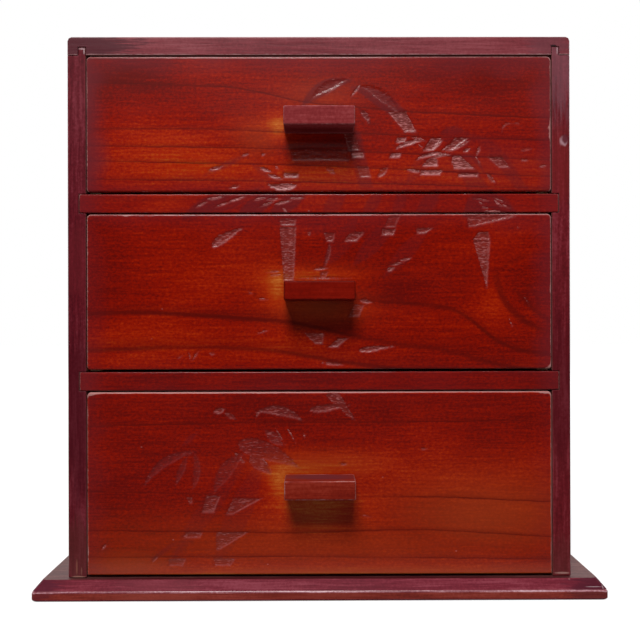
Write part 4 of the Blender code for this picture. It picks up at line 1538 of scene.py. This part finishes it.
pulls = {
    "top": {
        "seed": 21.0, "dark": (0.135, 0.014, 0.016), "body": (0.185, 0.023, 0.025),
        "light": (0.26, 0.048, 0.050), "worn": (0.34, 0.15, 0.15), "reach": 0.0006, "share": 0.65,
        "rough": 0.40, "gloss": 0.0, "fibre": 0.25,
        # painted shade on the pull's underside
        "scuffsAndShade": [((0, -113.5, 275.2), (60, 10.5, 1.2), 0.95, (0.070, 0.0030, 0.0024))],
    },
    "middle": {
        "seed": 22.0, "dark": (0.105, 0.0028, 0.0010), "body": (0.140, 0.0035, 0.0010),
        "light": (0.18, 0.006, 0.002), "worn": (0.060, 0.003, 0.002), "reach": 0.0012, "share": 0.85,
        "rough": 0.36, "gloss": 0.03, "fibre": 0.35,
    },
    "bottom": {
        "seed": 23.0, "dark": (0.120, 0.007, 0.004), "body": (0.170, 0.012, 0.0055),
        # the pale wear along the front top arris is also a painted highlight
        "light": (0.23, 0.024, 0.013), "worn": (0.42, 0.22, 0.21), "reach": 0.0007, "share": 0.62,
        "rough": 0.34, "gloss": 0.03, "fibre": 0.40,
        # painted shade on the pull's top face
        "scuffsAndShade": [((0, -114, 73.4), (30, 9, 1.2), 0.85, (0.085, 0.016, 0.022))],
    },
}
pullShape = {"step": 0.8, "round": 0.9, "roundSteps": 3, "smooth": 50}   # mm, mm, count, degrees


def pullLines(low, high, roundLow):   # like gridLines, with one end left square where it meets the front
    radius = pullShape["round"]
    turn = np.linspace(math.pi / 2, 0, pullShape["roundSteps"] + 1)[:-1]
    rim = radius * (1 - np.sin(turn))
    start = low + radius if roundLow else low
    count = max(1, round((high - radius - start) / pullShape["step"]))
    core = np.linspace(start, high - radius, count + 1)
    return np.concatenate([low + rim if roundLow else [], core, high - rim[::-1]])


def boxGrid(lines):   # the six faces of a box, cut up by the lines along its three axes
    shape = bmesh.new()
    for axis in range(3):
        u, v = [a for a in range(3) if a != axis]
        for end in (lines[axis][0], lines[axis][-1]):
            grid = []
            for a in lines[u]:
                row = []
                for b in lines[v]:
                    point = [0.0, 0.0, 0.0]
                    point[axis], point[u], point[v] = end, a, b
                    row.append(shape.verts.new(point))
                grid.append(row)
            for row, following in zip(grid, grid[1:]):
                for j in range(len(row) - 1):
                    shape.faces.new((row[j], following[j], following[j + 1], row[j + 1]))
    bmesh.ops.remove_doubles(shape, verts=shape.verts, dist=1e-4)
    return shape


def makePull(level):
    values = pulls[level]
    node = f"{level}_pull"
    low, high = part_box(node)
    lowMm = np.array(low) / mm
    highMm = np.array(high) / mm
    alongX = pullLines(lowMm[0], highMm[0], True)
    alongY = -pullLines(-highMm[1], -lowMm[1], False)[::-1]
    alongZ = pullLines(lowMm[2], highMm[2], True)
    shape = boxGrid([alongX, alongY, alongZ])
    radius = pullShape["round"]
    coreLow = lowMm + radius
    coreHigh = highMm - (radius, 0, radius)
    for vertex in shape.verts:   # draws the grid's edges in to round ones
        point = np.array(vertex.co)
        core = np.clip(point, coreLow, coreHigh)
        over = point - core
        reach = np.linalg.norm(over)
        if reach > 1e-6:
            core = core + over * (np.abs(over).max() / reach)
        vertex.co = Vector(core * mm)
    bmesh.ops.recalc_face_normals(shape, faces=shape.faces)
    mesh = bpy.data.meshes.new(f"{level}Pull")
    shape.to_mesh(mesh)
    shape.free()
    smoothShading(mesh, pullShape["smooth"])
    mesh.materials.append(caseLacquer(f"{level}PullLacquer", low, high, "x", **values))
    addPiece(f"{level}Pull", mesh, f"{level}_drawer", [node])


for level in levels:
    makePull(level)
print("pulls made")

# drawer boxes, runners and back panel keep their CAD shapes, with eased edges and bare wood

boxEase = {"width": 0.0004, "segments": 2, "angle": 40, "weld": 1e-6}
boxWood = {   # kind of wood and the way its grain runs
    "left_side": ("drawer", "y"),
    "right_side": ("drawer", "y"),
    "back": ("drawer", "x"),
    "bottom": ("ply", "x"),
}
boxSeeds = {"drawer": 30.0, "runner": 50.0, "back": 60.0}


def dressNode(node, material):
    nodes[node].data.materials.clear()
    nodes[node].data.materials.append(material)


def easeNode(node, kind, axis, seed):
    piece = nodes[node]
    weld = piece.modifiers.new("weld", "WELD")
    weld.merge_threshold = boxEase["weld"]
    bevel = piece.modifiers.new("ease", "BEVEL")
    bevel.width = boxEase["width"]
    bevel.segments = boxEase["segments"]
    bevel.limit_method = "ANGLE"
    bevel.angle_limit = math.radians(boxEase["angle"])
    dressNode(node, bareWood(f"{node}_wood", kind, axis, seed))


for number, level in enumerate(levels):
    for part, (kind, axis) in boxWood.items():
        easeNode(f"{level}_drawer_{part}", kind, axis, boxSeeds["drawer"] + 4 * number + len(part))
for number, node in enumerate(n for n in nodes if n.endswith("_runner")):
    easeNode(node, "drawer", "y", boxSeeds["runner"] + number)
easeNode("back_panel", "ply", "x", boxSeeds["back"])
print("drawer boxes, runners and back finished")

# screws and brads, repeated by Geometry Nodes

pullScrew = {"head": 3.1, "height": 2.0, "shank": 1.55, "recess": 0.75, "lift": 0.3, "seed": 3}   # mm
screwShape = {"sides": 24, "rings": 12, "shankSides": 16, "arm": 1.15, "deep": 1.1}   # arm, deep: by the head
brads = {"inset": 3.0, "spacing": 34.0, "head": 0.9, "proud": 0.25, "seed": 4}   # mm
bradSway = (0.0012, 0.0, 0.0012)   # how far a brad may stand off its line, in metres


def newTree(name, inputs):
    kinds = {float: "NodeSocketFloat", int: "NodeSocketInt", tuple: "NodeSocketVector"}
    tree = bpy.data.node_groups.new(name, "GeometryNodeTree")
    tree.interface.new_socket("Geometry", in_out="INPUT", socket_type="NodeSocketGeometry")
    for label, value in inputs.items():
        if isinstance(value, str):
            tree.interface.new_socket(label, in_out="INPUT", socket_type=value)
        else:
            socket = tree.interface.new_socket(label, in_out="INPUT", socket_type=kinds[type(value)])
            socket.default_value = value
    tree.interface.new_socket("Geometry", in_out="OUTPUT", socket_type="NodeSocketGeometry")
    return tree, tree.nodes.new("NodeGroupInput").outputs, tree.nodes.new("NodeGroupOutput").inputs


def put(tree, kind, settings=(), **sockets):   # a node's first output
    node = tree.nodes.new(kind)
    for label, value in settings:
        setattr(node, label, value)
    for label, value in sockets.items():
        wire(tree, node.inputs[label], value)
    return node.outputs[0]


def moved(tree, geometry, **sockets):
    return put(tree, "GeometryNodeTransform", Geometry=geometry, **sockets)


def randomVector(tree, least, most, seed):
    node = tree.nodes.new("FunctionNodeRandomValue")
    node.data_type = "FLOAT_VECTOR"
    wire(tree, node.inputs[0], least)
    wire(tree, node.inputs[1], most)
    wire(tree, node.inputs["Seed"], seed)
    return node.outputs[0]


def realOnes(tree, points, instance, material, **sockets):
    placed = put(tree, "GeometryNodeInstanceOnPoints", Points=points, Instance=instance, **sockets)
    real = put(tree, "GeometryNodeRealizeInstances", Geometry=placed)
    return put(tree, "GeometryNodeSetMaterial", Geometry=real, Material=material)


def makeScrewHead(tree, radius, height, recess):   # a flattened half ball with a cross cut into it
    ball = put(tree, "GeometryNodeMeshUVSphere", Segments=screwShape["sides"], Rings=screwShape["rings"],
               Radius=radius)
    dome = moved(tree, ball, Scale=joined(tree, 1.0, 1.0, calc(tree, "DIVIDE", height, radius)))
    wide = times(tree, radius, 4.0)
    lowerHalf = put(tree, "GeometryNodeMeshCube", Size=joined(tree, wide, wide, wide))
    cutters = [moved(tree, lowerHalf, Translation=joined(tree, z=times(tree, radius, -2.0)))]
    arm = times(tree, radius, screwShape["arm"])
    deep = times(tree, height, screwShape["deep"])
    for size in ((arm, recess), (recess, arm)):
        blade = put(tree, "GeometryNodeMeshCube", Size=joined(tree, *size, deep))
        cutters.append(moved(tree, blade, Translation=joined(tree, z=height)))
    head = tree.nodes.new("GeometryNodeMeshBoolean")
    head.operation = "DIFFERENCE"
    head.solver = "EXACT"
    wire(tree, head.inputs["Mesh 1"], dome)
    for cutter in reversed(cutters):
        wire(tree, head.inputs["Mesh 2"], cutter)
    return head.outputs["Mesh"]


def makeScrewTree():
    tree, source, sink = newTree("crossHeadScrew", {
        "Head Radius": 0.003,
        "Head Height": 0.002,
        "Shank Radius": 0.0015,
        "Shank Length": 0.02,
        "Recess Width": 0.0008,
        "Seed": 1,
        "Facing": "NodeSocketRotation",
        "Spin Axis": (0.0, 0.0, 1.0),
        "Material": "NodeSocketMaterial",
    })
    head = makeScrewHead(tree, source["Head Radius"], source["Head Height"], source["Recess Width"])
    long = source["Shank Length"]
    shank = put(tree, "GeometryNodeMeshCylinder", Vertices=screwShape["shankSides"],
                Radius=source["Shank Radius"], Depth=long)
    shank = moved(tree, shank, Translation=joined(tree, z=times(tree, long, -0.5)))
    whole = tree.nodes.new("GeometryNodeJoinGeometry")
    wire(tree, whole.inputs[0], head)
    wire(tree, whole.inputs[0], shank)
    screw = moved(tree, whole.outputs[0], Rotation=source["Facing"])
    halfTurn = vectorCalc(tree, "MULTIPLY", source["Spin Axis"], (math.pi,) * 3)
    spin = randomVector(tree, origin, halfTurn, source["Seed"])
    points = put(tree, "GeometryNodeMeshToPoints", Mesh=source["Geometry"])
    wire(tree, sink["Geometry"], realOnes(tree, points, screw, source["Material"], Rotation=spin))
    return tree


def makeBradTree():
    tree, source, sink = newTree("panelBrads", {
        "Width": 0.28,
        "Height": 0.31,
        "Spacing": 0.03,
        "Head Radius": 0.001,
        "Proud": 0.0002,
        "Middle": origin,
        "Seed": 1,
        "Material": "NodeSocketMaterial",
    })
    edge = put(tree, "GeometryNodeCurvePrimitiveQuadrilateral", Width=source["Width"],
               Height=source["Height"])
    edge = put(tree, "GeometryNodeResampleCurve", [("mode", "LENGTH")], Curve=edge, Length=source["Spacing"])
    upright = put(tree, "FunctionNodeEulerToRotation", Euler=(math.pi / 2, 0.0, 0.0))
    edge = moved(tree, edge, Rotation=upright, Translation=source["Middle"])
    sway = randomVector(tree, tuple(-v for v in bradSway), bradSway, source["Seed"])
    points = put(tree, "GeometryNodeCurveToPoints", [("mode", "EVALUATED")], Curve=edge)
    points = put(tree, "GeometryNodeSetPosition", Geometry=points, Offset=sway)
    radius = source["Head Radius"]
    ball = put(tree, "GeometryNodeMeshUVSphere", Segments=12, Rings=6, Radius=radius)
    head = moved(tree, ball, Scale=joined(tree, 1.0, calc(tree, "DIVIDE", source["Proud"], radius), 1.0))
    wire(tree, sink["Geometry"], realOnes(tree, points, head, source["Material"]))
    return tree


def grown(name, tree, points, values):   # the tree's result as a plain mesh
    start = bpy.data.meshes.new(f"{name}Points")
    start.from_pydata(points, [], [])
    piece = bpy.data.objects.new(name, start)
    scene.collection.objects.link(piece)
    grow = piece.modifiers.new("grow", "NODES")
    grow.node_group = tree
    for item in tree.interface.items_tree:
        if item.in_out == "INPUT" and item.name in values:
            grow[item.identifier] = values[item.name]
    graph = bpy.context.evaluated_depsgraph_get()
    result = piece.evaluated_get(graph)
    mesh = bpy.data.meshes.new_from_object(result, preserve_all_data_layers=True, depsgraph=graph)
    piece.modifiers.remove(grow)
    piece.data = mesh
    mesh.name = name
    bpy.data.meshes.remove(start)
    return piece


def makeScrews():
    tree = makeScrewTree()
    toBack = Vector((0, 1, 0)).to_track_quat("Z", "Y").to_euler()
    for level in levels:
        names = [f"{level}_pull_screw_{side}" for side in ("left", "right")]
        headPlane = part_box(f"{level}_drawer_front")[1].y
        places = []
        for name in names:
            low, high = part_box(name)
            places.append(((low.x + high.x) / 2, headPlane + pullScrew["lift"] * mm, (low.z + high.z) / 2))
        piece = grown(f"{level}PullScrews", tree, places, {
            "Head Radius": pullScrew["head"] * mm,
            "Head Height": pullScrew["height"] * mm,
            "Shank Radius": pullScrew["shank"] * mm,
            "Shank Length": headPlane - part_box(names[0])[0].y,
            "Recess Width": pullScrew["recess"] * mm,
            "Seed": pullScrew["seed"] + len(level),
            "Facing": toBack,
            "Spin Axis": (0.0, 1.0, 0.0),
            "Material": steel,
        })
        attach(piece, f"{level}_drawer")
        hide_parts(*names)


def makeBrads():
    low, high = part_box("back_panel")
    inset = 2 * brads["inset"] * mm
    piece = grown("backBrads", makeBradTree(), [(0, 0, 0)], {
        "Width": high.x - low.x - inset,
        "Height": high.z - low.z - inset,
        "Spacing": brads["spacing"] * mm,
        "Head Radius": brads["head"] * mm,
        "Proud": brads["proud"] * mm,
        "Middle": ((low.x + high.x) / 2, high.y, (low.z + high.z) / 2),
        "Seed": brads["seed"],
        "Material": steel,
    })
    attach(piece, "case")


makeScrews()
print("pull screws made")
makeBrads()
print("brads made")
for node in [n for n in nodes if n.startswith("base_screw")]:
    dressNode(node, steel)
print("base screws finished")
